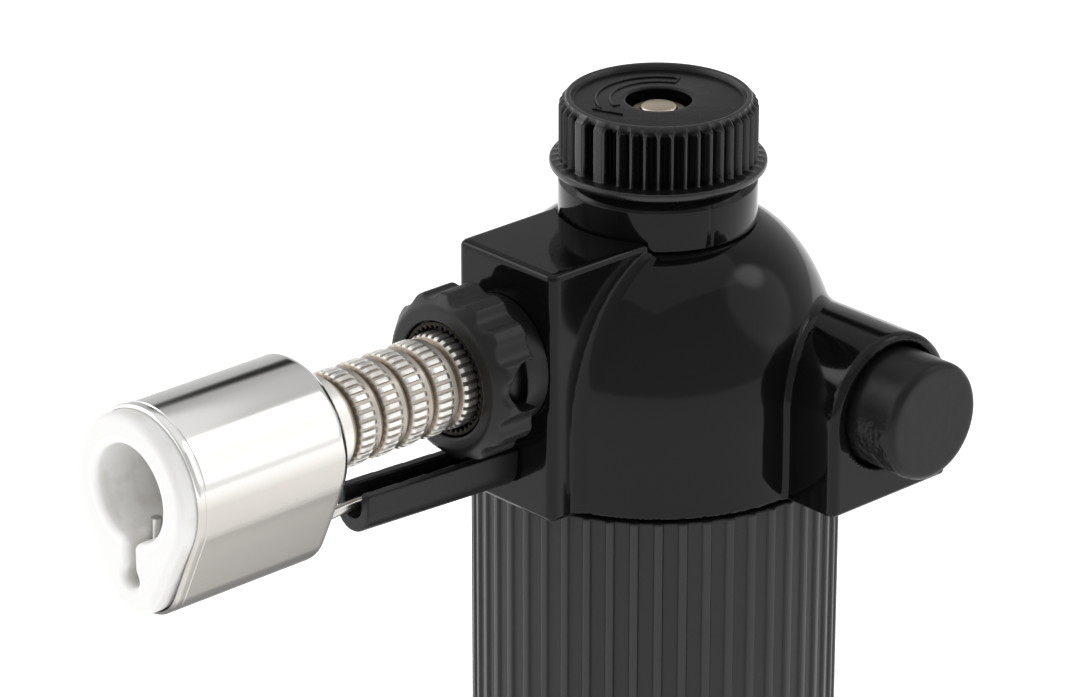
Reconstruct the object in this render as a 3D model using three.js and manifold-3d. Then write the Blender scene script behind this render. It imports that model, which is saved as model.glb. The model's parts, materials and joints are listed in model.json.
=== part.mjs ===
// A small butane torch with a fluted gas tank in its grip, a gas knob on top, a knurled burner
// tube with a ceramic mouth at the front, and a piezo igniter button on its right-hand side.
//
// Millimetres, +Z up. The origin is the centre of the stand's underside, on the axis of the grip.
// The burner points along -Y and the igniter button along +X.
import * as THREE from 'three';
import { mergeVertices } from 'three/addons/utils/BufferGeometryUtils.js';
import Module from 'manifold-3d';

const wasm = await Module();
wasm.setup();

// ---- Driving dimensions -------------------------------------------------------------------

const GAP = 0.3; // between pieces that touch, or that turn or slide on each other
const THIN_GAP = 0.1; // between pieces that are clamped together

// Stand and tank
const STAND_RADIUS = 29;
const STAND_FLOOR = 5;
const STAND_HEIGHT = 13;
const GRIP_RADIUS = 20;
const GRIP_RIDGES = 48;
const RIDGE_HEIGHT = 0.35;
const RIDGE_ANGLE = THREE.MathUtils.degToRad(-42.8); // centre of one ridge
const TANK_WALL = 2.4;
const TANK_BOTTOM = STAND_FLOOR + GAP;
const TANK_BORE = GRIP_RADIUS - TANK_WALL;
const HEAD_BASE = 102; // height of the head's lower edge
const TANK_TOP = HEAD_BASE - 0.4;
const PLUG_RADIUS = TANK_BORE - THIN_GAP;

// Head housing
const HEAD_RADIUS = 19.8;
const HEAD_WALL = 1.8;
const DOME_START = HEAD_BASE + 8.36; // where the straight wall turns into the dome
const DOME_CENTRE_RADIUS = 7.73;
const DOME_RISE = 18.75;
const NECK_RADIUS = 10.65;
const BOX_HALF_WIDTH = 7.33;
const BOX_FRONT = 22.17; // distance of the box's front face from the axis
const BOX_TOP = HEAD_BASE + 27.9;
const BOX_WALL = 1.7;
const EDGE_ROUND = 0.8;

// Gas valve and knob
const VALVE_RADIUS = 5;
const SPINDLE_RADIUS = 2;
const COLLAR_TOP = HEAD_BASE + 32.2;
const KNOB_BASE = HEAD_BASE + 32.6;
const KNOB_HEIGHT = 7.8;
const KNOB_RADIUS = 10.6;
const KNOB_FLANGE_RADIUS = 11.6;
const KNOB_RIBS = 45;
const KNOB_RIB_DEPTH = 0.5;
const KNOB_EYE_RADIUS = 3.4;
const KNOB_MARK_ANGLE = THREE.MathUtils.degToRad(271.3); // midway between the two wide ribs

// Burner, measured forwards from the axis of the grip
const BURNER_HEIGHT = HEAD_BASE + 16.8;
const HUB_REAR = 18.6;
const AIR_RING_REAR = 25.4;
const AIR_RING_FRONT = 31;
const AIR_RING_RADIUS = 9.2;
const AIR_RING_LOBES = 14;
const LOBE_PHASE = THREE.MathUtils.degToRad(5); // centre of one groove
const AIR_HOLE_RADIUS = 2.7;
const TUBE_RADIUS = 5.25;
const TUBE_GROOVE_RADIUS = 4.65;
const TUBE_BORE = 3.6;
const TUBE_BANDS = 5;
const TUBE_TEETH = 24;
const FIRST_BAND = 30.2;
const BAND_PITCH = 3.5;
const BAND_WIDTH = 2.05;
const SLEEVE_REAR = 50.5;
const SLEEVE_FRONT = 70.5;
const SLEEVE_WALL = 0.35;
const MOUTH_FRONT = 72.6;
const MOUTH_RADIUS = 8.3; // upper lobe of the teardrop
const MOUTH_FOOT_RADIUS = 4.05; // lower lobe of the teardrop
const MOUTH_LOBE_SPACING = 9.2;
const SLEEVE_FOOT_RADIUS = 4.85; // the sleeve is fuller than the mouth at its lower lobe
const SLEEVE_LOBE_SPACING = 8.4;
const FLAME_BORE = 5.2;

// Igniter, measured along +X from the axis of the grip
const IGNITER_OFFSET = 8.75; // behind the axis
const IGNITER_HEIGHT = HEAD_BASE + 10.6;
const BOSS_RADIUS = 8.75;
const BOSS_ARCH_HEIGHT = HEAD_BASE + 9.8;
const BOSS_END = 26.8;
const BOSS_ROUND = 1.25;
const BOSS_WALL = 1.1;
const BUTTON_RADIUS = 6.5;
const BUTTON_END = 32.8;
const BUTTON_REAR = 20.5;

// Facets
const LARGE_ROUND = 48;
const MIDDLE_ROUND = 30;
const SMALL_ROUND = 18;
const TINY_ROUND = 12;

// ---- Materials ----------------------------------------------------------------------------

function finish(color, roughness, metalness = 0) {
  return new THREE.MeshStandardMaterial({ color, roughness, metalness, flatShading: true });
}

const glossBlack = () => finish(0x0c0c0d, 0.18);
const satinBlack = () => finish(0x151516, 0.45);
const gripGrey = () => finish(0x2b2b2c, 0.62);
const rubberBlack = () => finish(0x101010, 0.8);
const brass = () => finish(0xc9a35a, 0.32, 1);
const darkBrass = () => finish(0x5e5138, 0.5, 1);
const nickel = () => finish(0xcfcac2, 0.28, 1);
const stainless = () => finish(0xd6d4d0, 0.16, 1);
const ceramicWhite = () => finish(0xf3f2ee, 0.55);
const springSteel = () => finish(0x9a9a9a, 0.35, 1);
const clearPlastic = () => finish(0xd9d5c6, 0.4);
const cotton = () => finish(0xe8e2cf, 0.95);
const blackSleeve = () => finish(0x121212, 0.6);

// ---- Solids -------------------------------------------------------------------------------

// Merges shared corners and drops triangles that have shrunk to a line.
function welded(geometry) {
  const bare = geometry.clone();
  bare.deleteAttribute('normal');
  bare.deleteAttribute('uv');
  const merged = mergeVertices(bare, 1e-4);
  const index = Array.from(merged.index.array);
  const kept = [];
  for (let i = 0; i < index.length; i += 3) {
    const [a, b, c] = index.slice(i, i + 3);
    if (a !== b && b !== c && c !== a) kept.push(a, b, c);
  }
  merged.setIndex(kept);
  return merged;
}

function signedVolume(geometry) {
  const position = geometry.getAttribute('position');
  const index = geometry.index.array;
  const [a, b, c] = [new THREE.Vector3(), new THREE.Vector3(), new THREE.Vector3()];
  let sum = 0;
  for (let i = 0; i < index.length; i += 3) {
    a.fromBufferAttribute(position, index[i]);
    b.fromBufferAttribute(position, index[i + 1]);
    c.fromBufferAttribute(position, index[i + 2]);
    sum += a.dot(b.cross(c)) / 6;
  }
  return sum;
}

// A closed geometry whose faces point outwards.
function outward(geometry) {
  const closed = welded(geometry);
  if (signedVolume(closed) < 0) {
    const index = closed.index.array;
    for (let i = 0; i < index.length; i += 3) {
      [index[i + 1], index[i + 2]] = [index[i + 2], index[i + 1]];
    }
  }
  return closed;
}

function toManifold(geometry) {
  const closed = outward(geometry);
  return new wasm.Manifold(new wasm.Mesh({
    numProp: 3,
    vertProperties: new Float32Array(closed.getAttribute('position').array),
    triVerts: new Uint32Array(closed.index.array),
  }));
}

function toGeometry(manifold) {
  const mesh = manifold.getMesh();
  const geometry = new THREE.BufferGeometry();
  geometry.setAttribute('position', new THREE.BufferAttribute(mesh.vertProperties, 3));
  geometry.setIndex(new THREE.BufferAttribute(mesh.triVerts, 1));
  return geometry;
}

function join(...geometries) {
  const [first, ...rest] = geometries.map(toManifold);
  return toGeometry(rest.reduce((sum, solid) => sum.add(solid), first));
}

function cut(geometry, ...cutters) {
  const start = toManifold(geometry);
  return toGeometry(cutters.map(toManifold).reduce((rest, cutter) => rest.subtract(cutter), start));
}

// Turns a profile of [radius, height] points round the local Z axis.
function revolve(points, segments = MIDDLE_ROUND) {
  const profile = points.map(([r, z]) => new THREE.Vector2(r, z));
  return new THREE.LatheGeometry(profile, segments).rotateX(Math.PI / 2);
}

// A plain ring, or a disc where the inner radius is 0.
function ring(outer, inner, from, to, segments = MIDDLE_ROUND) {
  return revolve([[inner, from], [outer, from], [outer, to], [inner, to], [inner, from]], segments);
}

const rod = (radius, from, to, segments = SMALL_ROUND) => ring(radius, 0, from, to, segments);

// Extrudes an outline along the local Z axis, from one height to another.
function prism(shape, from, to, options = {}) {
  const settings = { depth: to - from, bevelEnabled: false, curveSegments: 10, ...options };
  return new THREE.ExtrudeGeometry(shape, settings).translate(0, 0, from);
}

// As prism, with both ends rounded over inside the given length and outline.
function roundedPrism(shape, from, to, round, segments = 2) {
  return prism(shape, from + round, to - round, {
    bevelEnabled: true,
    bevelSize: round,
    bevelThickness: round,
    bevelOffset: -round,
    bevelSegments: segments,
  });
}

function polygon(points) {
  return new THREE.Shape(points.map(([x, y]) => new THREE.Vector2(x, y)));
}

function polar(radius, angle) {
  return [radius * Math.cos(angle), radius * Math.sin(angle)];
}

function circleHole(radius, x = 0, y = 0) {
  return new THREE.Path().absarc(x, y, radius, 0, 2 * Math.PI, true);
}

// A round outline with flat-topped teeth; tipShare is the part of the pitch that a tip takes.
function toothedOutline(count, tip, root, tipShare, phase = 0) {
  const points = [];
  const pitch = (2 * Math.PI) / count;
  const halfTip = (pitch * tipShare) / 2;
  const halfRoot = (pitch * (1 - tipShare)) / 2.6;
  for (let i = 0; i < count; i += 1) {
    const centre = phase + i * pitch;
    points.push(polar(root, centre - halfRoot), polar(root, centre + halfRoot));
    points.push(polar(tip, centre + pitch / 2 - halfTip), polar(tip, centre + pitch / 2 + halfTip));
  }
  return points;
}

// A round outline with pointed teeth.
function zigzagOutline(count, tip, root) {
  const points = [];
  for (let i = 0; i < count; i += 1) {
    const angle = (i / count) * 2 * Math.PI;
    points.push(polar(root, angle), polar(tip, angle + Math.PI / count));
  }
  return points;
}

// A coil spring with closed ends, standing on the local Z axis.
function coilSpring(radius, wire, from, to, turns) {
  const STEPS_PER_TURN = 9;
  const points = [];
  for (let i = 0; i <= turns * STEPS_PER_TURN; i += 1) {
    const share = i / (turns * STEPS_PER_TURN);
    const angle = share * turns * 2 * Math.PI;
    const height = THREE.MathUtils.lerp(from + wire, to - wire, share);
    points.push(new THREE.Vector3(...polar(radius, angle), height));
  }
  return sweep(points, wire, turns * STEPS_PER_TURN, 5);
}

// A round wire, rod or tube along a smooth curve through the points.
function sweep(points, radius, steps, sides = 8) {
  const section = [];
  for (let i = 0; i < sides; i += 1) section.push(polar(radius, (i / sides) * 2 * Math.PI));
  const path = new THREE.CatmullRomCurve3(points);
  return new THREE.ExtrudeGeometry(polygon(section), { steps, extrudePath: path });
}

const vector = (x, y, z) => new THREE.Vector3(x, y, z);

// ---- The scene graph ----------------------------------------------------------------------

const torch = new THREE.Group();

// In the burner's group, local Z runs forwards along the burner and local Y runs up.
const burner = new THREE.Group();
burner.position.set(0, 0, BURNER_HEIGHT);
burner.rotation.x = Math.PI / 2;
burner.updateMatrix();
torch.add(burner);

// In the igniter's group, local Z runs along the button, local X runs back and local Y runs up.
const igniter = new THREE.Group();
igniter.position.set(0, IGNITER_OFFSET, IGNITER_HEIGHT);
igniter.setRotationFromMatrix(
  new THREE.Matrix4().makeBasis(vector(0, 1, 0), vector(0, 0, 1), vector(1, 0, 0)),
);
igniter.updateMatrix();
torch.add(igniter);

function addPiece(group, name, geometry, material) {
  const mesh = new THREE.Mesh(outward(geometry), material);
  mesh.name = name;
  group.add(mesh);
}

// ---- Stand and tank -----------------------------------------------------------------------

function standBase() {
  const socket = GRIP_RADIUS + GAP;
  const rim = socket + 2.2;
  return revolve([
    [0, 0],
    [STAND_RADIUS - 1, 0],
    [STAND_RADIUS, 1],
    [STAND_RADIUS, 2.8],
    [STAND_RADIUS - 1.2, 4.2],
    [rim + 1, STAND_HEIGHT - 3.5],
    [rim, STAND_HEIGHT - 0.6],
    [rim - 0.7, STAND_HEIGHT],
    [socket + 0.5, STAND_HEIGHT],
    [socket, STAND_HEIGHT - 0.8],
    [socket, STAND_FLOOR],
    [0, STAND_FLOOR],
  ], LARGE_ROUND);
}

function tankShell() {
  const halfPitch = Math.PI / GRIP_RIDGES;
  const outline = polygon(toothedOutline(
    GRIP_RIDGES, GRIP_RADIUS, GRIP_RADIUS - RIDGE_HEIGHT, 0.3, RIDGE_ANGLE - halfPitch,
  ));
  outline.holes.push(circleHole(TANK_BORE));
  return prism(outline, TANK_BOTTOM, TANK_TOP, { curveSegments: 18 });
}

const RECESS_TOP = TANK_BOTTOM + 3.4; // ceiling of the recess round the refill valve

function tankBottom() {
  const RECESS_RADIUS = 8;
  const bore = 4 + THIN_GAP;
  return revolve([
    [RECESS_RADIUS, TANK_BOTTOM + 0.2],
    [PLUG_RADIUS, TANK_BOTTOM + 0.2],
    [PLUG_RADIUS, TANK_BOTTOM + 7],
    [bore, TANK_BOTTOM + 7],
    [bore, RECESS_TOP],
    [RECESS_RADIUS, RECESS_TOP],
    [RECESS_RADIUS, TANK_BOTTOM + 0.2],
  ], MIDDLE_ROUND);
}

const DECK_TOP = HEAD_BASE - 2.6;

function tankDeck() {
  const bore = VALVE_RADIUS + THIN_GAP;
  return revolve([
    [bore, DECK_TOP - 9],
    [bore + 2.6, DECK_TOP - 9],
    [bore + 2.6, DECK_TOP - 4],
    [PLUG_RADIUS, DECK_TOP - 4],
    [PLUG_RADIUS, DECK_TOP],
    [bore, DECK_TOP],
    [bore, DECK_TOP - 9],
  ], MIDDLE_ROUND);
}

const REFILL_FLANGE = RECESS_TOP - THIN_GAP; // upper face of the refill valve's flange
const REFILL_CHAMBER = 2.6;

function refillValveBody() {
  return revolve([
    [1.3, REFILL_FLANGE - 1.2],
    [5.6, REFILL_FLANGE - 1.2],
    [5.6, REFILL_FLANGE],
    [4, REFILL_FLANGE],
    [4, REFILL_FLANGE + 11],
    [REFILL_CHAMBER, REFILL_FLANGE + 11],
    [REFILL_CHAMBER, REFILL_FLANGE + 1.6],
    [1.3, REFILL_FLANGE + 1.6],
    [1.3, REFILL_FLANGE - 1.2],
  ], SMALL_ROUND);
}

const SEAL_TOP = REFILL_FLANGE + 2.3;

function refillValveSeal() {
  return ring(REFILL_CHAMBER - THIN_GAP, 1.3, REFILL_FLANGE + 1.65, SEAL_TOP, TINY_ROUND);
}

function refillValveStem() {
  return revolve([
    [0, TANK_BOTTOM + 0.9],
    [1.1, TANK_BOTTOM + 0.9],
    [1.1, SEAL_TOP + 0.05],
    [2.2, SEAL_TOP + 0.05],
    [2.2, SEAL_TOP + 1.2],
    [0.9, SEAL_TOP + 1.2],
    [0.9, SEAL_TOP + 3.2],
    [0, SEAL_TOP + 3.2],
  ], TINY_ROUND);
}

const REFILL_CAP_BASE = REFILL_FLANGE + 9.8;

function refillValveSpring() {
  return coilSpring(1.75, 0.25, SEAL_TOP + 1.3, REFILL_CAP_BASE - 0.1, 4);
}

function refillValveCap() {
  return ring(REFILL_CHAMBER - THIN_GAP, 0.8, REFILL_CAP_BASE, REFILL_CAP_BASE + 1, TINY_ROUND);
}

function addTank() {
  addPiece(torch, 'stand_base', standBase(), satinBlack());
  addPiece(torch, 'tank_shell', tankShell(), gripGrey());
  addPiece(torch, 'tank_bottom', tankBottom(), satinBlack());
  addPiece(torch, 'tank_deck', tankDeck(), satinBlack());
  addPiece(torch, 'refill_valve_body', refillValveBody(), brass());
  addPiece(torch, 'refill_valve_seal', refillValveSeal(), rubberBlack());
  addPiece(torch, 'refill_valve_stem', refillValveStem(), brass());
  addPiece(torch, 'refill_valve_spring', refillValveSpring(), springSteel());
  addPiece(torch, 'refill_valve_cap', refillValveCap(), brass());
}

// ---- Gas valve and knob -------------------------------------------------------------------

const VALVE_FLANGE_BASE = DECK_TOP + 1.8;
const VALVE_TOP = KNOB_BASE - 0.6;
const GLAND_BASE = VALVE_TOP - 6;
const VALVE_FOOT = DECK_TOP - 11;

// A stepped brass body: a dip bore from below, a seat, the spindle's bore and a gland at the top,
// with the outlet to the jet drilled across it at the burner's height.
function valveBody() {
  const flange = 7.6;
  const seat = 0.8;
  const seatHeight = BURNER_HEIGHT - 6;
  const body = revolve([
    [1.9, VALVE_FOOT],
    [VALVE_RADIUS, VALVE_FOOT],
    [VALVE_RADIUS, VALVE_FLANGE_BASE],
    [flange, VALVE_FLANGE_BASE],
    [flange, VALVE_FLANGE_BASE + 3],
    [VALVE_RADIUS, VALVE_FLANGE_BASE + 3],
    [VALVE_RADIUS, VALVE_TOP],
    [3.4, VALVE_TOP],
    [3.4, GLAND_BASE],
    [SPINDLE_RADIUS + 0.2, GLAND_BASE],
    [SPINDLE_RADIUS + 0.2, seatHeight + 1.2],
    [seat, seatHeight],
    [seat, VALVE_FOOT + 6],
    [1.9, VALVE_FOOT + 6],
    [1.9, VALVE_FOOT],
  ], SMALL_ROUND + 4);
  const outlet = rod(0.9, 0, 12, TINY_ROUND).applyMatrix4(burner.matrix);
  return cut(body, outlet);
}

// A tapered needle below and a flat head above, with a smaller raised disc on the head.
function valveSpindle() {
  const tip = BURNER_HEIGHT - 5.2;
  const head = KNOB_BASE + 5.1;
  return revolve([
    [0, tip],
    [0.5, tip],
    [1.1, tip + 2],
    [1.1, tip + 8],
    [SPINDLE_RADIUS, tip + 8.6],
    [SPINDLE_RADIUS, head],
    [3.05, head],
    [3.05, head + 0.9],
    [1.95, head + 0.9],
    [1.95, head + 1.2],
    [1.8, head + 1.35],
    [0, head + 1.35],
  ], SMALL_ROUND);
}

function spindleRing() {
  return ring(3.35, SPINDLE_RADIUS + 0.1, GLAND_BASE + 0.1, GLAND_BASE + 1.5, TINY_ROUND);
}

function glandBush() {
  return ring(3.35, SPINDLE_RADIUS + 0.1, GLAND_BASE + 1.6, VALVE_TOP - 0.1, TINY_ROUND);
}

function deckRing() {
  return ring(VALVE_RADIUS + 1.8, VALVE_RADIUS + THIN_GAP, DECK_TOP + 0.1, VALVE_FLANGE_BASE - 0.1,
    SMALL_ROUND);
}

function wickTube() {
  return ring(1.8, 1.3, 34, VALVE_FOOT + 5.8, TINY_ROUND);
}

function gasWick() {
  return rod(1.2, 24, VALVE_FOOT + 5, TINY_ROUND);
}

// The neck under the knob: a round nut with a bevelled rim and one fine slot down its side.
const NECK_BASE = HEAD_BASE + 26.7;

function neckCollar() {
  const SLOT_ANGLE = THREE.MathUtils.degToRad(-12);
  const nut = revolve([
    [VALVE_RADIUS + THIN_GAP, NECK_BASE],
    [NECK_RADIUS, NECK_BASE],
    [NECK_RADIUS, COLLAR_TOP - 1.1],
    [NECK_RADIUS - 0.9, COLLAR_TOP],
    [8.6, COLLAR_TOP],
    [8.6, COLLAR_TOP - 3],
    [VALVE_RADIUS + THIN_GAP, COLLAR_TOP - 3],
    [VALVE_RADIUS + THIN_GAP, NECK_BASE],
  ], LARGE_ROUND);
  const slot = new THREE.BoxGeometry(1, 0.35, 12)
    .translate(NECK_RADIUS, 0, NECK_BASE + 3)
    .rotateZ(SLOT_ANGLE);
  return cut(nut, slot);
}

// Ribs round the skirt, a smooth flange below them and a sunk top with a round eye in it.
function gasKnob() {
  const top = KNOB_BASE + KNOB_HEIGHT;
  const eyeFloor = KNOB_BASE + 4.4;
  const hub = 4.4;
  const root = KNOB_RADIUS - KNOB_RIB_DEPTH;
  const core = revolve([
    [SPINDLE_RADIUS + THIN_GAP, KNOB_BASE + 0.2],
    [hub, KNOB_BASE + 0.2],
    [hub, KNOB_BASE + 4.4],
    [8.8, KNOB_BASE + 4.4],
    [8.8, KNOB_BASE],
    [KNOB_FLANGE_RADIUS - 0.3, KNOB_BASE],
    [KNOB_FLANGE_RADIUS, KNOB_BASE + 0.4],
    [KNOB_FLANGE_RADIUS, KNOB_BASE + 0.8],
    [root, KNOB_BASE + 1.4],
    [root, top - 1.3],
    [KNOB_RADIUS - 0.5, top - 0.4],
    [9.4, top],
    [8.8, top - 0.5],
    [KNOB_EYE_RADIUS, top - 0.5],
    [KNOB_EYE_RADIUS, eyeFloor],
    [SPINDLE_RADIUS + THIN_GAP, eyeFloor],
    [SPINDLE_RADIUS + THIN_GAP, KNOB_BASE + 0.2],
  ], KNOB_RIBS);
  const ribs = knobRibs(root - 0.1).map((rib) => prism(rib, KNOB_BASE + 1, top - 0.9, {
    curveSegments: 9,
  }));
  return join(core, ...ribs, prism(knobArrow(), top - 0.9, top - 0.25));
}

// Pointed ribs all round but for one place, where two wide ribs stand side by side.
function knobRibs(root) {
  const pitch = (2 * Math.PI) / KNOB_RIBS;
  const points = [];
  for (let i = 0; i < KNOB_RIBS; i += 1) {
    const centre = (i + 0.5) * pitch;
    points.push(polar(root, i * pitch));
    if (Math.abs(centre - KNOB_MARK_ANGLE) > 2 * pitch) points.push(polar(KNOB_RADIUS, centre));
  }
  const ring = polygon(points);
  ring.holes.push(circleHole(root - 0.5));
  const wide = [-1, 1].map((side) => {
    const middle = KNOB_MARK_ANGLE + side * pitch;
    return arcBand(root - 0.5, KNOB_RADIUS, middle - pitch * 0.55, middle + pitch * 0.55);
  });
  return [ring, ...wide];
}

function arcBand(inner, outer, from, to) {
  const band = new THREE.Shape();
  band.absarc(0, 0, outer, from, to, false);
  band.absarc(0, 0, inner, to, from, true);
  band.closePath();
  return band;
}

// A low arc with a pointed head, raised on the knob's top to show which way it turns.
function knobArrow() {
  const [radius, half, barb] = [5.4, 0.35, 1.1];
  const [from, to, tip] = [95, 222, 244].map(THREE.MathUtils.degToRad);
  const arrow = new THREE.Shape();
  arrow.absarc(0, 0, radius + half, from, to, false);
  arrow.lineTo(...polar(radius + barb, to));
  arrow.lineTo(...polar(radius, tip));
  arrow.lineTo(...polar(radius - barb, to));
  arrow.absarc(0, 0, radius - half, to, from, true);
  arrow.closePath();
  return arrow;
}

function addValve() {
  addPiece(torch, 'valve_body', valveBody(), brass());
  addPiece(torch, 'valve_spindle', valveSpindle(), brass());
  addPiece(torch, 'spindle_o_ring', spindleRing(), rubberBlack());
  addPiece(torch, 'gland_bush', glandBush(), brass());
  addPiece(torch, 'deck_o_ring', deckRing(), rubberBlack());
  addPiece(torch, 'wick_tube', wickTube(), clearPlastic());
  addPiece(torch, 'gas_wick', gasWick(), cotton());
  addPiece(torch, 'neck_collar', neckCollar(), glossBlack());
  addPiece(torch, 'gas_knob', gasKnob(), satinBlack());
}

// ---- Head housing -------------------------------------------------------------------------

// Points up the dome's outside, from the end of the straight wall to the given radius.
function domeProfile(inset, endRadius, steps) {
  const across = HEAD_RADIUS - DOME_CENTRE_RADIUS;
  const endAngle = Math.acos((endRadius - DOME_CENTRE_RADIUS) / across);
  const points = [];
  for (let i = 0; i <= steps; i += 1) {
    const angle = (i / steps) * endAngle;
    points.push([
      DOME_CENTRE_RADIUS + (across - inset) * Math.cos(angle),
      DOME_START + (DOME_RISE - inset) * Math.sin(angle),
    ]);
  }
  return points;
}

function archOutline(radius, sill) {
  const arch = new THREE.Shape();
  arch.moveTo(radius, sill);
  arch.lineTo(radius, 0);
  arch.absarc(0, 0, radius, 0, Math.PI, false);
  arch.lineTo(-radius, sill);
  arch.closePath();
  return arch;
}

// Places a shape drawn round the top of the igniter's arch.
function atArch(geometry) {
  return geometry.translate(0, BOSS_ARCH_HEIGHT - IGNITER_HEIGHT, 0).applyMatrix4(igniter.matrix);
}

function boxOutline(inset) {
  const half = BOX_HALF_WIDTH - inset;
  return polygon([
    [-half, HEAD_BASE + inset - BURNER_HEIGHT],
    [half, HEAD_BASE + inset - BURNER_HEIGHT],
    [half, BOX_TOP - inset - BURNER_HEIGHT],
    [-half, BOX_TOP - inset - BURNER_HEIGHT],
  ]);
}

function headHousing() {
  const sill = HEAD_BASE - BOSS_ARCH_HEIGHT;
  const skirt = PLUG_RADIUS - 0.1;
  const skirtBase = HEAD_BASE - 2.2;
  const innerSkirt = skirt - 1.8;
  const dome = revolve([
    [0, HEAD_BASE],
    [HEAD_RADIUS, HEAD_BASE],
    ...domeProfile(0, NECK_RADIUS, 9),
    [0, NECK_BASE - 0.1],
  ], LARGE_ROUND);
  const box = roundedPrism(boxOutline(0), 2, BOX_FRONT, EDGE_ROUND).applyMatrix4(burner.matrix);
  const boss = atArch(roundedPrism(archOutline(BOSS_RADIUS, sill), 8, BOSS_END, BOSS_ROUND, 3));
  const plug = ring(skirt, 0, skirtBase, HEAD_BASE + 1, LARGE_ROUND);

  const ceiling = NECK_BASE - 1.8;
  const hollowDome = revolve([
    [0, HEAD_BASE + HEAD_WALL],
    [HEAD_RADIUS - HEAD_WALL, HEAD_BASE + HEAD_WALL],
    ...domeProfile(HEAD_WALL, NECK_RADIUS, 6),
    [0, ceiling],
  ], MIDDLE_ROUND);
  const hollowBox = prism(boxOutline(BOX_WALL), 2, BOX_FRONT - BOX_WALL).applyMatrix4(burner.matrix);
  const hollowBoss = atArch(
    prism(archOutline(BOSS_RADIUS - BOSS_WALL, sill + BOSS_WALL), 6, BOSS_END - 1.6),
  );
  const mouth = rod(innerSkirt, skirtBase - 1, HEAD_BASE + HEAD_WALL + 0.5, MIDDLE_ROUND);
  const valveHole = rod(VALVE_RADIUS + GAP, ceiling - 3, NECK_BASE + 5, SMALL_ROUND + 4);
  const neckSeat = rod(NECK_RADIUS + 0.15, NECK_BASE - 0.1, BOX_TOP + 5, LARGE_ROUND);
  const hubHole = rod(6 + THIN_GAP, BOX_FRONT - 4, BOX_FRONT + 2, MIDDLE_ROUND)
    .applyMatrix4(burner.matrix);
  const leadHole = rod(1.3, BOX_FRONT - 4, BOX_FRONT + 2, TINY_ROUND)
    .translate(0, CHANNEL_REAR_HEIGHT - BURNER_HEIGHT, 0)
    .applyMatrix4(burner.matrix);
  const buttonHole = rod(BUTTON_RADIUS + 0.4, BOSS_END - 4, BOSS_END + 2, MIDDLE_ROUND)
    .applyMatrix4(igniter.matrix);
  const shell = join(dome, box, boss, plug);
  return cut(shell, hollowDome, hollowBox, hollowBoss, mouth, valveHole, neckSeat, hubHole,
    leadHole, buttonHole);
}

// ---- Burner -------------------------------------------------------------------------------

const HUB_BORE = 4.4;
const HUB_FRONT = 29.2;
const COLLAR_REAR = 47.3;
const TUBE_END_RADIUS = 4.5;
const TUBE_END = 61.6;
const TUBE_SOCKET = TUBE_END_RADIUS + THIN_GAP;

// The air hub: a spigot in the housing, a flange against its face and a drum under the air ring.
function airHub() {
  const flangeRear = BOX_FRONT + 0.1;
  const hub = revolve([
    [HUB_BORE, HUB_REAR],
    [6, HUB_REAR],
    [6, flangeRear],
    [7, flangeRear],
    [7, AIR_RING_REAR - 0.2],
    [6, AIR_RING_REAR - 0.2],
    [6, HUB_FRONT],
    [HUB_BORE, HUB_FRONT],
    [HUB_BORE, HUB_REAR],
  ], MIDDLE_ROUND);
  return cut(hub, airPorts());
}

// The drilling across the burner that lets air reach the jet.
function airPorts() {
  return new THREE.CylinderGeometry(1.5, 1.5, 20, TINY_ROUND)
    .rotateZ(Math.PI / 2)
    .translate(0, 0, AIR_RING_REAR + 1.7);
}

// The lobed air ring, with a wide window cut from its rear edge on each side.
function airRing() {
  const STEPS_PER_LOBE = 5;
  const bore = 6 + GAP;
  const outline = [];
  for (let i = 0; i < AIR_RING_LOBES * STEPS_PER_LOBE; i += 1) {
    const angle = (i / (AIR_RING_LOBES * STEPS_PER_LOBE)) * 2 * Math.PI;
    const wave = Math.cos((angle - LOBE_PHASE) * AIR_RING_LOBES);
    const dip = Math.max(0, wave) ** 1.5;
    outline.push(polar(AIR_RING_RADIUS - 0.65 * dip, angle));
  }
  const shape = polygon(outline);
  shape.holes.push(circleHole(bore));
  const lobed = prism(shape, AIR_RING_REAR, AIR_RING_FRONT - 0.7);
  const nose = revolve([
    [bore, AIR_RING_FRONT - 0.9],
    [AIR_RING_RADIUS - 0.75, AIR_RING_FRONT - 0.9],
    [AIR_RING_RADIUS - 1.9, AIR_RING_FRONT],
    [bore, AIR_RING_FRONT],
    [bore, AIR_RING_FRONT - 0.9],
  ], MIDDLE_ROUND + 4);
  const windows = new THREE.CylinderGeometry(AIR_HOLE_RADIUS, AIR_HOLE_RADIUS, 30, SMALL_ROUND)
    .rotateZ(Math.PI / 2 + LOBE_PHASE)
    .translate(0, 0, AIR_RING_REAR + 1);
  return cut(join(lobed, nose), windows);
}

function tubeLockRing() {
  const outline = new THREE.Shape().absarc(0, 0, 6.1, 0, 2 * Math.PI, false);
  const teeth = toothedOutline(30, 5.75, 5.4, 0.5);
  outline.holes.push(new THREE.Path(teeth.reverse().map(([x, y]) => new THREE.Vector2(x, y))));
  return prism(outline, HUB_FRONT + 0.2, AIR_RING_FRONT - 0.3);
}

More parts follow.
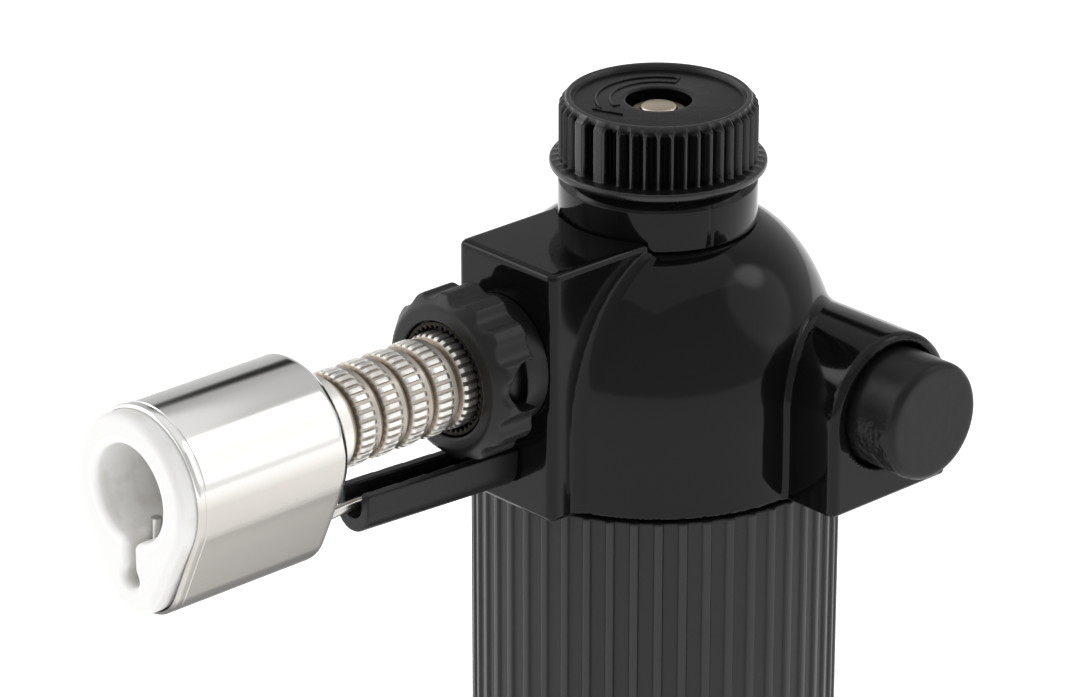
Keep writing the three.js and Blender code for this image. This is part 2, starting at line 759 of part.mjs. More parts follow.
// The burner tube: knurled bands behind a smooth collar, and a plain end inside the sleeve.
function burnerTube() {
  const plain = HUB_BORE - THIN_GAP;
  const core = revolve([
    [TUBE_BORE, HUB_REAR + 0.4],
    [plain, HUB_REAR + 0.4],
    [plain, FIRST_BAND - 0.6],
    [TUBE_GROOVE_RADIUS, FIRST_BAND - 0.6],
    [TUBE_GROOVE_RADIUS, COLLAR_REAR - 0.3],
    [TUBE_RADIUS, COLLAR_REAR],
    [TUBE_RADIUS, SLEEVE_REAR - THIN_GAP],
    [TUBE_END_RADIUS, SLEEVE_REAR - THIN_GAP],
    [TUBE_END_RADIUS, TUBE_END],
    [TUBE_BORE, TUBE_END],
    [TUBE_BORE, HUB_REAR + 0.4],
  ], SMALL_ROUND + 4);
  const teeth = polygon(zigzagOutline(TUBE_TEETH, TUBE_RADIUS, TUBE_RADIUS - 0.35));
  teeth.holes.push(circleHole(TUBE_GROOVE_RADIUS - 0.4));
  const bands = [];
  for (let i = 0; i < TUBE_BANDS; i += 1) {
    const start = FIRST_BAND + i * BAND_PITCH;
    bands.push(prism(teeth, start, start + BAND_WIDTH, { curveSegments: 8 }));
  }
  return cut(join(core, ...bands), airPorts());
}

// A teardrop: a large lobe above, a small lobe below and the two lines that touch both.
function teardrop(inset = 0, footRadius = MOUTH_FOOT_RADIUS, spacing = MOUTH_LOBE_SPACING) {
  const big = MOUTH_RADIUS - inset;
  const small = footRadius - inset;
  const lean = Math.asin((big - small) / spacing);
  const outline = new THREE.Shape();
  outline.absarc(0, 0, big, -lean, Math.PI + lean, false);
  outline.absarc(0, -spacing, small, Math.PI + lean, 2 * Math.PI - lean, false);
  outline.closePath();
  return outline;
}

const sleeveOutline = (inset) => teardrop(inset, SLEEVE_FOOT_RADIUS, SLEEVE_LOBE_SPACING);

const ELECTRODE_ENTRY = -MOUTH_LOBE_SPACING - 1.7; // height of its hole in the sleeve's rear wall

// A drawn cup of sheet steel, open at the front, with holes for the tube and the electrode.
function burnerSleeve() {
  const cup = roundedPrism(
    sleeveOutline(-SLEEVE_WALL - THIN_GAP), SLEEVE_REAR, SLEEVE_FRONT + 2, 1.6,
  );
  const hollow = prism(sleeveOutline(-THIN_GAP), SLEEVE_REAR + 0.9, SLEEVE_FRONT + 3);
  const trim = new THREE.BoxGeometry(40, 40, 6).translate(0, -4, SLEEVE_FRONT + 3);
  const tubeHole = rod(TUBE_SOCKET, SLEEVE_REAR - 1, SLEEVE_REAR + 2, SMALL_ROUND + 4);
  const leadHole = rod(1.1, SLEEVE_REAR - 1, SLEEVE_REAR + 2, TINY_ROUND)
    .translate(0, ELECTRODE_ENTRY, 0);
  return cut(cup, hollow, trim, tubeHole, leadHole);
}

const MOUTH_REAR = 58;
const CHAMBER_REAR = 62.2;

// The ceramic mouth: a keyhole through it, wide above for the flame, narrow below for the spark.
function ceramicMouth() {
  const SLOT_WIDTH = 1.3;
  const block = roundedPrism(teardrop(), MOUTH_REAR, MOUTH_FRONT, 0.5);
  const flameBore = revolve([
    [0, CHAMBER_REAR],
    [FLAME_BORE, CHAMBER_REAR],
    [FLAME_BORE, MOUTH_FRONT - 0.7],
    [FLAME_BORE + 0.9, MOUTH_FRONT + 0.2],
    [0, MOUTH_FRONT + 0.2],
  ], MIDDLE_ROUND);
  const tubeBore = rod(TUBE_SOCKET, MOUTH_REAR - 1, CHAMBER_REAR + 1, SMALL_ROUND + 4);
  const slot = new THREE.BoxGeometry(SLOT_WIDTH, MOUTH_LOBE_SPACING, MOUTH_FRONT - CHAMBER_REAR)
    .translate(0, -MOUTH_LOBE_SPACING / 2, (MOUTH_FRONT + CHAMBER_REAR) / 2 + 1);
  const sparkBore = rod(1.25, MOUTH_REAR - 1, MOUTH_FRONT + 1, TINY_ROUND)
    .translate(0, -MOUTH_LOBE_SPACING, 0);
  return cut(block, flameBore, tubeBore, slot, sparkBore);
}

// A disc with a ring of holes that holds the flame on the burner.
function flameHolder() {
  const HOLES = 6;
  const disc = new THREE.Shape().absarc(0, 0, FLAME_BORE - THIN_GAP, 0, 2 * Math.PI, false);
  disc.holes.push(circleHole(0.9));
  for (let i = 0; i < HOLES; i += 1) {
    disc.holes.push(circleHole(0.8, ...polar(3.1, (i / HOLES) * 2 * Math.PI)));
  }
  return prism(disc, CHAMBER_REAR + 0.1, CHAMBER_REAR + 1.1, { curveSegments: 6 });
}

// A wire that leaves the trough, dips to the sleeve's rear wall, runs forwards through the mouth's
// lower bore, turns up through the slot and ends in the flame bore.
function electrodeRod() {
  const low = -MOUTH_LOBE_SPACING;
  return sweep([
    vector(0, low - 0.8, ELECTRODE_REAR),
    vector(0, low - 1, CHANNEL_FRONT),
    vector(0, low - 1.3, 46.5),
    vector(0, ELECTRODE_ENTRY, SLEEVE_REAR + 0.5),
    vector(0, low - 0.8, 54.5),
    vector(0, low, INSULATOR_REAR),
    vector(0, low, 67),
    vector(0, low + 0.6, 68.4),
    vector(0, low + 2.4, 69),
    vector(0, -5, 69),
    vector(0, -3.6, 69),
  ], ELECTRODE_RADIUS, 32, 6);
}

const INSULATOR_REAR = 57.6;

function electrodeInsulator() {
  return ring(1.1, 0.7, INSULATOR_REAR, 65, TINY_ROUND).translate(0, -MOUTH_LOBE_SPACING, 0);
}

// The gas outlet: a tube from the valve body, a holder with the jet in its nose, and a filter.
function gasTube() {
  return ring(1.2, 0.7, VALVE_RADIUS + 0.2, 11, TINY_ROUND);
}

function jetHolder() {
  return revolve([
    [1.4, 9.6],
    [3, 9.6],
    [3, 12],
    [4, 12],
    [4, 16.4],
    [1.9, 16.4],
    [1.9, 11.4],
    [1.4, 11.4],
    [1.4, 9.6],
  ], SMALL_ROUND);
}

function jetFilter() {
  return rod(1.7, 11.7, 13, TINY_ROUND);
}

function gasJet() {
  return revolve([
    [0.3, 13.4],
    [1.8, 13.4],
    [1.8, 16.6],
    [2.3, 16.6],
    [2.3, 17.4],
    [1.1, 18.2],
    [0.3, 18.2],
    [0.3, 13.4],
  ], TINY_ROUND);
}

function addBurner() {
  addPiece(burner, 'gas_tube', gasTube(), brass());
  addPiece(burner, 'jet_holder', jetHolder(), brass());
  addPiece(burner, 'jet_filter', jetFilter(), darkBrass());
  addPiece(burner, 'gas_jet', gasJet(), brass());
  addPiece(burner, 'air_hub', airHub(), satinBlack());
  addPiece(burner, 'air_ring', airRing(), satinBlack());
  addPiece(burner, 'tube_lock_ring', tubeLockRing(), darkBrass());
  addPiece(burner, 'burner_tube', burnerTube(), nickel());
  addPiece(burner, 'burner_sleeve', burnerSleeve(), stainless());
  addPiece(burner, 'ceramic_mouth', ceramicMouth(), ceramicWhite());
  addPiece(burner, 'flame_holder', flameHolder(), nickel());
  addPiece(burner, 'electrode_rod', electrodeRod(), springSteel());
  addPiece(burner, 'electrode_insulator', electrodeInsulator(), ceramicWhite());
}

// ---- Lead channel and ignition lead -------------------------------------------------------

const CHANNEL_REAR = BOX_FRONT + 0.3;
const CHANNEL_FRONT = 43.4;
const CHANNEL_HALF_WIDTH = 2.5;
const CHANNEL_WALL = 1.2;
const CHANNEL_FLOOR = 1.5;
const CHANNEL_TOP = 2.1; // height of its walls above the centre of its round floor
const CHANNEL_REAR_HEIGHT = HEAD_BASE + 4.9; // centre of its round floor
const CHANNEL_SLOPE = THREE.MathUtils.degToRad(2.9);
const ELECTRODE_REAR = 40.6;
const ELECTRODE_RADIUS = 0.58;
const LEAD_RADIUS = 0.55;

// A bar with a round floor, lying along the local Z axis.
function roundFlooredBar(halfWidth, top, from, to) {
  return prism(archOutline(halfWidth, -top), from, to).rotateZ(Math.PI);
}

// A trough, open above and at both ends, that climbs a little towards its front end.
function leadChannel() {
  const length = CHANNEL_FRONT - CHANNEL_REAR;
  const outside = roundFlooredBar(CHANNEL_HALF_WIDTH, CHANNEL_TOP, 0, length);
  const inside = roundFlooredBar(CHANNEL_HALF_WIDTH - CHANNEL_WALL, CHANNEL_TOP + 1, -1, length + 1)
    .translate(0, CHANNEL_FLOOR - CHANNEL_WALL, 0);
  return cut(outside, inside)
    .rotateX(-CHANNEL_SLOPE)
    .translate(0, CHANNEL_REAR_HEIGHT - BURNER_HEIGHT, CHANNEL_REAR);
}

// The lead leaves the igniter's rear end, passes below the burner and runs along the trough.
function ignitionLead() {
  const low = CHANNEL_REAR_HEIGHT;
  const rise = (CHANNEL_FRONT - CHANNEL_REAR) * Math.tan(CHANNEL_SLOPE);
  return sweep([
    vector(PIEZO_REAR - 0.3, IGNITER_OFFSET, IGNITER_HEIGHT - 1),
    vector(PIEZO_REAR - 1.6, IGNITER_OFFSET - 0.6, IGNITER_HEIGHT - 1.8),
    vector(-12.6, 3, low + 2.2),
    vector(-10.5, -6, low + 0.4),
    vector(-3.6, -14, low),
    vector(0, -19, low),
    vector(0, -CHANNEL_REAR, low + 0.1),
    vector(0, -ELECTRODE_REAR + 4, low + rise * 0.8),
    vector(0, -ELECTRODE_REAR + 0.2, BURNER_HEIGHT - MOUTH_LOBE_SPACING - 0.8),
  ], LEAD_RADIUS, 44);
}

// ---- Igniter ------------------------------------------------------------------------------

const PIEZO_REAR = -11;
const PIEZO_FRONT = 13;
const PIEZO_BORE = 3.2;
const PIEZO_BORE_END = -1;

// A closed-end cup with a rounded rim round its pressing face.
function piezoButton() {
  const wall = 1.2;
  const face = BUTTON_END - 1.4;
  return revolve([
    [0, BUTTON_END],
    [BUTTON_RADIUS - 1.2, BUTTON_END],
    [BUTTON_RADIUS - 0.35, BUTTON_END - 0.35],
    [BUTTON_RADIUS, BUTTON_END - 1.2],
    [BUTTON_RADIUS, BUTTON_REAR],
    [BUTTON_RADIUS - wall, BUTTON_REAR],
    [BUTTON_RADIUS - wall, face],
    [0, face],
  ], MIDDLE_ROUND);
}

function piezoBody() {
  const [half, tall, corner] = [3.3, 4, 1];
  const section = polygon([
    [-half, corner - tall], [corner - half, -tall], [half - corner, -tall], [half, corner - tall],
    [half, tall - corner], [half - corner, tall], [corner - half, tall], [-half, tall - corner],
  ]);
  const bore = rod(PIEZO_BORE, PIEZO_BORE_END, PIEZO_FRONT + 1, SMALL_ROUND);
  return cut(prism(section, PIEZO_REAR, PIEZO_FRONT), bore);
}

function piezoSlider() {
  return revolve([
    [0, PIEZO_BORE_END + 5.2],
    [2.4, PIEZO_BORE_END + 5.2],
    [PIEZO_BORE - 0.2, PIEZO_BORE_END + 5.8],
    [PIEZO_BORE - 0.2, BUTTON_END - 1.6],
    [0, BUTTON_END - 1.6],
  ], SMALL_ROUND);
}

function piezoSpring() {
  return coilSpring(4.1, 0.35, PIEZO_FRONT + 0.15, BUTTON_END - 1.5, 6);
}

// A short wire that earths the igniter to the gas valve.
function earthWire() {
  return sweep([
    vector(PIEZO_REAR - 0.3, IGNITER_OFFSET - 2, IGNITER_HEIGHT + 2),
    vector(PIEZO_REAR - 1, 5, IGNITER_HEIGHT + 1.6),
    vector(-9, 1.6, IGNITER_HEIGHT),
    vector(-VALVE_RADIUS - 0.5, 0.6, IGNITER_HEIGHT - 0.6),
  ], 0.35, 16, 6);
}

function addIgniter() {
  addPiece(burner, 'lead_channel', leadChannel(), satinBlack());
  addPiece(torch, 'ignition_lead', ignitionLead(), blackSleeve());
  addPiece(torch, 'earth_wire', earthWire(), springSteel());
  addPiece(igniter, 'piezo_body', piezoBody(), clearPlastic());
  addPiece(igniter, 'piezo_slider', piezoSlider(), clearPlastic());
  addPiece(igniter, 'piezo_spring', piezoSpring(), springSteel());
  addPiece(igniter, 'piezo_button', piezoButton(), rubberBlack());
}

addTank();
addValve();
addPiece(torch, 'head_housing', headHousing(), glossBlack());
addBurner();
addIgniter();

export default torch;
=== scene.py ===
"""Looks for the butane torch: finely shaped stand-ins for the pieces that show, procedural materials,
a pale studio and the camera. Shapes are drawn in millimetres and made in metres."""

import json
import math

import bmesh
import bpy
import numpy as np
from mathutils import Matrix, Vector

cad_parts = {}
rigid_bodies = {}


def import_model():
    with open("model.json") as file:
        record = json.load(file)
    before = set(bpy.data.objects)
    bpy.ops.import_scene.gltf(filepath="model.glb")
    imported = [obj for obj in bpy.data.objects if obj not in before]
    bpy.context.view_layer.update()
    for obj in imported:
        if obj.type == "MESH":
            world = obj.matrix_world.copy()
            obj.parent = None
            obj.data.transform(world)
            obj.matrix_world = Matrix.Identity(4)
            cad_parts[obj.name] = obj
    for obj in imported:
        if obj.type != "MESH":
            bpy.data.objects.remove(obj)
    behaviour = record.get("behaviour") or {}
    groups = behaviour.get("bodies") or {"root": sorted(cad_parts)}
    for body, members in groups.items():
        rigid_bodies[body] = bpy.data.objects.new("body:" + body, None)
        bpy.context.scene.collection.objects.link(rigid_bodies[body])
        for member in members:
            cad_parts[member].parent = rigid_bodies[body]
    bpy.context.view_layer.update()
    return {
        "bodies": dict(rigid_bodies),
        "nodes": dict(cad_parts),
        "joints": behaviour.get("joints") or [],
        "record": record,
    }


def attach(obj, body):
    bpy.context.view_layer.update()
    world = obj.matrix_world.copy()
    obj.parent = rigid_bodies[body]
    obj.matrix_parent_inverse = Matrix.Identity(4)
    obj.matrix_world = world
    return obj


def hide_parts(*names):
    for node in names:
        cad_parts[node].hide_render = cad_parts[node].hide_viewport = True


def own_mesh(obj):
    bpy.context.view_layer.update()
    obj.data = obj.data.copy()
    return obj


MM = 0.001

# ---- Driving dimensions, in millimetres -------------------------------------------------------

HEAD_BASE = 102.0
GRIP_RADIUS = 20.0
GRIP_BORE = 17.6
GRIP_FOOT = 5.3
GRIP_RIDGES = 48
RIDGE_HEIGHT = 0.32
RIDGE_ANGLE = math.radians(-42.8)

REFILL_STROKE = 1.5
REFILL_SPRING_FOOT = 12.2
REFILL_SPRING_TOP = 18.3

STAND_RADIUS = 29.0
STAND_HEIGHT = 13.0

HEAD_RADIUS = 19.8
HEAD_WALL = 1.8
SKIRT_INNER = 15.6
SKIRT_OUTER = 17.4
SKIRT_DROP = 2.2
LEAD_HOLE = 1.3
DOME_START = HEAD_BASE + 8.36
DOME_CENTRE_RADIUS = 7.73
DOME_RISE = 18.75
NECK_BASE = HEAD_BASE + 26.7
NECK_RADIUS = 10.65
COLLAR_TOP = HEAD_BASE + 32.2
BOX_HALF_WIDTH = 7.33
BOX_FRONT = 22.17
BOX_TOP = HEAD_BASE + 27.9
VALVE_RADIUS = 5.0

KNOB_BASE = HEAD_BASE + 32.6
KNOB_TOP = KNOB_BASE + 7.8
KNOB_RADIUS = 10.6
KNOB_FLANGE_RADIUS = 11.6
KNOB_RIBS = 45
KNOB_EYE = 3.5
KNOB_DISH = 0.5
SPINDLE_HEAD = KNOB_BASE + 5.25

BURNER_HEIGHT = HEAD_BASE + 16.8
AIR_RING_REAR = 25.4
AIR_RING_FRONT = 31.0
AIR_RING_RADIUS = 9.2
AIR_RING_LOBES = 14
LOBE_ANGLE = math.radians(5)
HUB_RADIUS = 6.0
INSERT_TEETH = 44
TUBE_RADIUS = 5.25
TUBE_TEETH = 34
FIRST_BAND = 31.22
BAND_HALF_WIDTH = 1.03
BAND_PITCH = 3.5
BANDS = 5
SLEEVE_REAR = 50.5
SLEEVE_FRONT = 70.5
SLEEVE_WALL = 0.35
PLATE_INSET = 1.35
MOUTH_REAR = 58.0
MOUTH_FRONT = 72.6
MOUTH_RADIUS = 8.3
MOUTH_FOOT_RADIUS = 4.05
LOBE_SPACING = 9.2
FLAME_BORE = 5.2
SLEEVE_FOOT_RADIUS = 4.85
SLEEVE_LOBE_SPACING = 8.4

IGNITER_OFFSET = 8.75
IGNITER_HEIGHT = HEAD_BASE + 10.6
BOSS_RADIUS = 8.75
BOSS_ARCH_HEIGHT = HEAD_BASE + 9.8
BOSS_END = 26.8
BUTTON_RADIUS = 6.5
BUTTON_REAR = 20.5
BUTTON_END = 32.8
BUTTON_STROKE = 4.5
BUTTON_SPRING_FOOT = 13.15
BUTTON_SPRING_HEAD = BUTTON_END - 1.5
EYE_GAP = 0.4
EYE_FLOOR = 22.0

CHANNEL_REAR = BOX_FRONT + 0.3
CHANNEL_FRONT = 43.4
CHANNEL_HALF_WIDTH = 2.5
CHANNEL_WALL = 1.2
CHANNEL_FLOOR = 1.5
CHANNEL_TOP = 2.1
CHANNEL_HEIGHT = HEAD_BASE + 4.9
CHANNEL_SLOPE = math.radians(2.9)
ELECTRODE_REAR = 40.6
ELECTRODE_RADIUS = 0.58
LEAD_RADIUS = 0.55
ELECTRODE_DROP = LOBE_SPACING + 1.7

# In each of these frames local Z runs along the piece.
UPRIGHT = Matrix.Identity(4)
ALONG_BURNER = Matrix.Translation((0, 0, BURNER_HEIGHT)) @ Matrix.Rotation(math.pi / 2, 4, "X")
ALONG_IGNITER = Matrix(
    ((0, 0, 1, 0), (1, 0, 0, IGNITER_OFFSET), (0, 1, 0, IGNITER_HEIGHT), (0, 0, 0, 1))
)

# ---- Meshes -----------------------------------------------------------------------------------


def mesh_object(name, points, faces, material, sharp_angle=35):
    """A smooth-shaded object from points in millimetres."""
    mesh = bpy.data.meshes.new(name)
    mesh.from_pydata((np.asarray(points) * MM).tolist(), [], [tuple(face) for face in faces])
    mesh.validate()
    mesh.shade_smooth()
    mesh.set_sharp_from_angle(angle=math.radians(sharp_angle))
    mesh.materials.append(material)
    obj = bpy.data.objects.new(name, mesh)
    bpy.context.scene.collection.objects.link(obj)
    return obj


def placed(points, matrix):
    """Points in a local frame, moved into the row frame."""
    turn = np.array(matrix.to_3x3())
    return np.asarray(points) @ turn.T + np.array(matrix.translation)


def rounded_profile(corners, steps=5):
    """A closed [radius, height] outline whose corners, given as (r, z, fillet), are rounded."""
    outline = []
    count = len(corners)
    for i, (r, z, fillet) in enumerate(corners):
        corner = np.array((r, z))
        if not fillet:
            outline.append(corner)
            continue
        to_last = np.array(corners[i - 1][:2]) - corner
        to_next = np.array(corners[(i + 1) % count][:2]) - corner
        to_last /= np.linalg.norm(to_last)
        to_next /= np.linalg.norm(to_next)
        half = math.acos(np.clip(to_last @ to_next, -1, 1)) / 2
        reach = fillet / math.tan(half)
        middle = to_last + to_next
        centre = corner + middle / np.linalg.norm(middle) * fillet / math.sin(half)
        start = corner + to_last * reach - centre
        end = corner + to_next * reach - centre
        swing = math.atan2(start[0] * end[1] - start[1] * end[0], start @ end)
        for step in range(steps + 1):
            turn = swing * step / steps
            cos, sin = math.cos(turn), math.sin(turn)
            outline.append(
                centre + (start[0] * cos - start[1] * sin, start[0] * sin + start[1] * cos)
            )
    return np.array(outline)


def with_rows(outline, spacing):
    """The outline with extra points, no further apart than spacing."""
    rows = []
    for start, end in zip(outline, np.roll(outline, -1, axis=0)):
        parts = max(1, math.ceil(np.linalg.norm(end - start) / spacing))
        rows.extend(start + (end - start) * part / parts for part in range(parts))
    return np.array(rows)


def turned(name, corners, material, frame=UPRIGHT, segments=144, shape=None, spacing=None):
    """A turned piece. shape(radius, height, angle) may change the radius round and along it."""
    outline = rounded_profile(corners)
    if spacing:
        outline = with_rows(outline, spacing)
    angles = np.linspace(0, 2 * math.pi, segments, endpoint=False)
    radius, angle = np.meshgrid(outline[:, 0], angles, indexing="ij")
    height = np.repeat(outline[:, 1:], segments, axis=1)
    if shape:
        radius = shape(radius, height, angle)
    points = np.stack([radius * np.cos(angle), radius * np.sin(angle), height], -1)
    rows = len(outline)
    index = np.arange(rows * segments).reshape(rows, segments)
    across = np.roll(index, -1, axis=0)
    faces = np.stack(
        [index, np.roll(index, -1, axis=1), np.roll(across, -1, axis=1), across], -1
    ).reshape(-1, 4)
    obj = mesh_object(name, placed(points.reshape(-1, 3), frame), faces, material)
    tidy(obj)
    return obj


def tidy(obj):
    """Merges points on the axis and faces the surface outwards."""
    work = bmesh.new()
    work.from_mesh(obj.data)
    bmesh.ops.remove_doubles(work, verts=work.verts, dist=1e-7)
    bmesh.ops.dissolve_degenerate(work, edges=work.edges, dist=1e-8)
    bmesh.ops.recalc_face_normals(work, faces=work.faces)
    work.to_mesh(obj.data)
    work.free()


def rope(name, points, radius, material):
    """A round wire along a smooth curve through points in millimetres."""
    curve = bpy.data.curves.new(name, "CURVE")
    curve.dimensions = "3D"
    curve.bevel_depth = radius * MM
    curve.bevel_resolution = 6
    curve.resolution_u = 16
    curve.use_fill_caps = True
    spline = curve.splines.new("BEZIER")
    spline.bezier_points.add(len(points) - 1)
    for knot, point in zip(spline.bezier_points, points):
        knot.co = Vector(point) * MM
        knot.handle_left_type = knot.handle_right_type = "AUTO"
    curve.materials.append(material)
    obj = bpy.data.objects.new(name, curve)
    bpy.context.scene.collection.objects.link(obj)
    return obj


# ---- Solids from distance functions -----------------------------------------------------------

RELAX_ROUNDS = 4


def union(a, b, fillet):
    """Either solid, with a fillet where they meet."""
    inner = np.hypot(np.maximum(fillet - a, 0), np.maximum(fillet - b, 0))
    return np.maximum(fillet, np.minimum(a, b)) - inner


def common(a, b, edge):
    """Where both solids are, with a rounded edge where they meet."""
    return -union(-a, -b, edge)


def without(a, b, edge):
    """The first solid with the second cut away, with a rounded edge round the cut."""
    return common(a, -b, edge)


def surface_gradient(distance, points):
    """The direction in which the distance grows, at each point."""
    step = 0.01
    parts = []
    for axis in np.eye(3) * step:
        parts.append((distance(points + axis) - distance(points - axis)) / (2 * step))
    return np.stack(parts, -1)


def onto_surface(distance, points, rounds=4):
    """The points, each moved onto the surface along its own gradient."""
    for _ in range(rounds):
        slope = surface_gradient(distance, points)
        size = np.maximum((slope**2).sum(-1, keepdims=True), 1e-3)
        points = points - np.clip(distance(points)[:, None] * slope / size, -0.4, 0.4)
    return points


def carved(name, distance, low, high, step, material):
    """The surface where distance(points) is 0, as even four-sided faces with exact normals."""
    low, high = np.array(low, float), np.array(high, float)
    counts = np.ceil((high - low) / step).astype(int) + 1
    ticks = [low[k] + step * np.arange(counts[k]) for k in range(3)]
    inside = distance(np.stack(np.meshgrid(*ticks, indexing="ij"), -1)) < 0
    corner_sum = sum(
        inside[i : counts[0] - 1 + i, j : counts[1] - 1 + j, k : counts[2] - 1 + k].astype(int)
        for i in (0, 1)
        for j in (0, 1)
        for k in (0, 1)
    )
    cells = np.argwhere((corner_sum > 0) & (corner_sum < 8))
    index = np.full(counts - 1, -1)
    index[tuple(cells.T)] = np.arange(len(cells))
    faces = []
    for axis in range(3):
        along = [slice(None)] * 3
        along[axis] = slice(0, -1)
        lower = inside[tuple(along)]
        along[axis] = slice(1, None)
        upper = inside[tuple(along)]
        edges = np.argwhere(lower != upper)
        u, v = np.eye(3, dtype=int)[(axis + 1) % 3], np.eye(3, dtype=int)[(axis + 2) % 3]
        around = [edges - u - v, edges - v, edges, edges - u]
        quads = np.stack([index[tuple(cell.T)] for cell in around], 1)
        outward = lower[tuple(edges.T)]
        faces.append(np.where(outward[:, None], quads, quads[:, ::-1]))
    faces = np.concatenate(faces)
    points = onto_surface(distance, low + (cells + 0.5) * step)
    shares = np.bincount(faces.ravel(), minlength=len(points))[:, None]
    for _ in range(RELAX_ROUNDS):
        middles = points[faces].mean(1)
        pull = np.zeros_like(points)
        for corner in range(4):
            np.add.at(pull, faces[:, corner], middles)
        points = onto_surface(distance, pull / shares, 2)
    obj = mesh_object(name, points, faces, material, sharp_angle=180)
    normals = surface_gradient(distance, points)
    normals /= np.maximum(np.linalg.norm(normals, axis=1, keepdims=True), 1e-6)
    obj.data.normals_split_custom_set_from_vertices(normals.tolist())
    return obj


def slab(t, low, high):
    """Distance to the layer where t lies between low and high."""
    return np.maximum(low - t, t - high)


def split(points):
    return points[..., 0], points[..., 1], points[..., 2]


def teardrop(x, z, big, small):
    """Distance to two circles, the small one below the big one, and the lines that touch both."""
    x = np.abs(x)
    lean = (big - small) / LOBE_SPACING
    rise = math.sqrt(1 - lean**2)
    down = -z
    along = x * lean + down * -rise
    side = x * rise + down * lean
    straight = side - big
    to_big = np.hypot(x, down) - big
    to_small = np.hypot(x, down - LOBE_SPACING) - small
    start = -along
    return np.where(start < 0, to_big, np.where(start > LOBE_SPACING * rise, to_small, straight))


def dome_distance(x, y, z):
    across = np.maximum(np.hypot(x, y) - DOME_CENTRE_RADIUS, 0)
    up = np.maximum(z - DOME_START, 0)
    width = HEAD_RADIUS - DOME_CENTRE_RADIUS
    ratio = np.maximum(np.hypot(across / width, up / DOME_RISE), 1e-3)
    slope = np.hypot(across / width**2, up / DOME_RISE**2) / ratio
    return (ratio - 1) / np.maximum(slope, 1e-3)


def box_distance(x, y, z):
    plan = common(np.abs(x) - BOX_HALF_WIDTH, slab(-y, 2, BOX_FRONT), 1.0)
    return common(plan, z - BOX_TOP, 0.7)


def boss_distance(x, y, z):
    side = y - IGNITER_OFFSET
    up = np.maximum(z - BOSS_ARCH_HEIGHT, 0)
    arch = np.hypot(side, up) - BOSS_RADIUS
    return common(common(arch, slab(x, 8, BOSS_END), 0.9), HEAD_BASE - z, 0.5)


def housing_distance(points):
    x, y, z = split(points)
    dome = common(dome_distance(x, y, z), z - NECK_BASE + 0.1, 0.2)
    body = union(union(dome, box_distance(x, y, z), 1.0), boss_distance(x, y, z), 0.7)
    hollow = common(body + HEAD_WALL, HEAD_BASE + HEAD_WALL - z, 0.3)
    body = common(body, HEAD_BASE - z, 0.3)
    round_grip = np.hypot(x, y)
    skirt = np.maximum(
        slab(round_grip, SKIRT_INNER, SKIRT_OUTER),
        slab(z, HEAD_BASE - SKIRT_DROP, HEAD_BASE + 1),
    )
    mouth = np.maximum(round_grip - SKIRT_INNER, z - HEAD_BASE - HEAD_WALL - 0.5)
    shell = without(without(np.minimum(body, skirt), hollow, 0.2), mouth, 0.2)
    seat = np.maximum(round_grip - NECK_RADIUS - 0.15, NECK_BASE - 0.1 - z)
    valve = np.maximum(round_grip - VALVE_RADIUS - 0.3, HEAD_BASE + 20 - z)
    hub = np.maximum(np.hypot(x, z - BURNER_HEIGHT) - HUB_RADIUS - 0.1, y + 15)
    lead = np.maximum(np.hypot(x, z - CHANNEL_HEIGHT) - LEAD_HOLE, y + 15)
    eye = np.hypot(y - IGNITER_OFFSET, z - IGNITER_HEIGHT) - BUTTON_RADIUS
    shell = without(shell, np.maximum(eye - EYE_GAP, EYE_FLOOR - x), 0.35)
    for hole in (seat, valve, hub, lead):
        shell = without(shell, hole, 0.15)
    return shell


def air_ring_distance(points):
    x, y, z = split(points)
    up = z - BURNER_HEIGHT
    radius = np.hypot(x, up)
    blank = common(radius - AIR_RING_RADIUS, slab(-y, AIR_RING_REAR, AIR_RING_FRONT), 0.35)
    bevel = (radius - 7.9 - (y + AIR_RING_FRONT)) / math.sqrt(2)
    ring = common(blank, bevel, 0.25)
    for lobe in range(AIR_RING_LOBES):
        angle = LOBE_ANGLE + lobe / AIR_RING_LOBES * 2 * math.pi
        scoop = np.hypot(x - 10.6 * math.cos(angle), up - 10.6 * math.sin(angle)) - 2.0
        ring = without(ring, scoop, 0.25)
    ring = without(ring, radius - HUB_RADIUS - 0.3, 0.2)
    lift = up * math.cos(LOBE_ANGLE) - x * math.sin(LOBE_ANGLE)
    window = np.hypot(y + AIR_RING_REAR + 1.0, lift) - 2.7
    return without(ring, window, 0.25)


def ceramic_distance(points):
    x, y, z = split(points)
    up = z - BURNER_HEIGHT
    depth = -y
    block = common(
        teardrop(x, up, MOUTH_RADIUS, MOUTH_FOOT_RADIUS), slab(depth, MOUTH_REAR, MOUTH_FRONT), 0.75
    )
    radius = np.hypot(x, up)
    bore = np.maximum(radius - FLAME_BORE, 62.2 - depth)
    slot = np.maximum(np.abs(x) - 0.62, np.maximum(slab(up, -LOBE_SPACING, 0), 63.2 - depth))
    spark = np.hypot(x, up + LOBE_SPACING) - 1.1
    keyhole = union(union(bore, slot, 0.7), spark, 0.4)
    block = without(block, keyhole, 0.7)
    return without(block, radius - 4.6, 0.1)


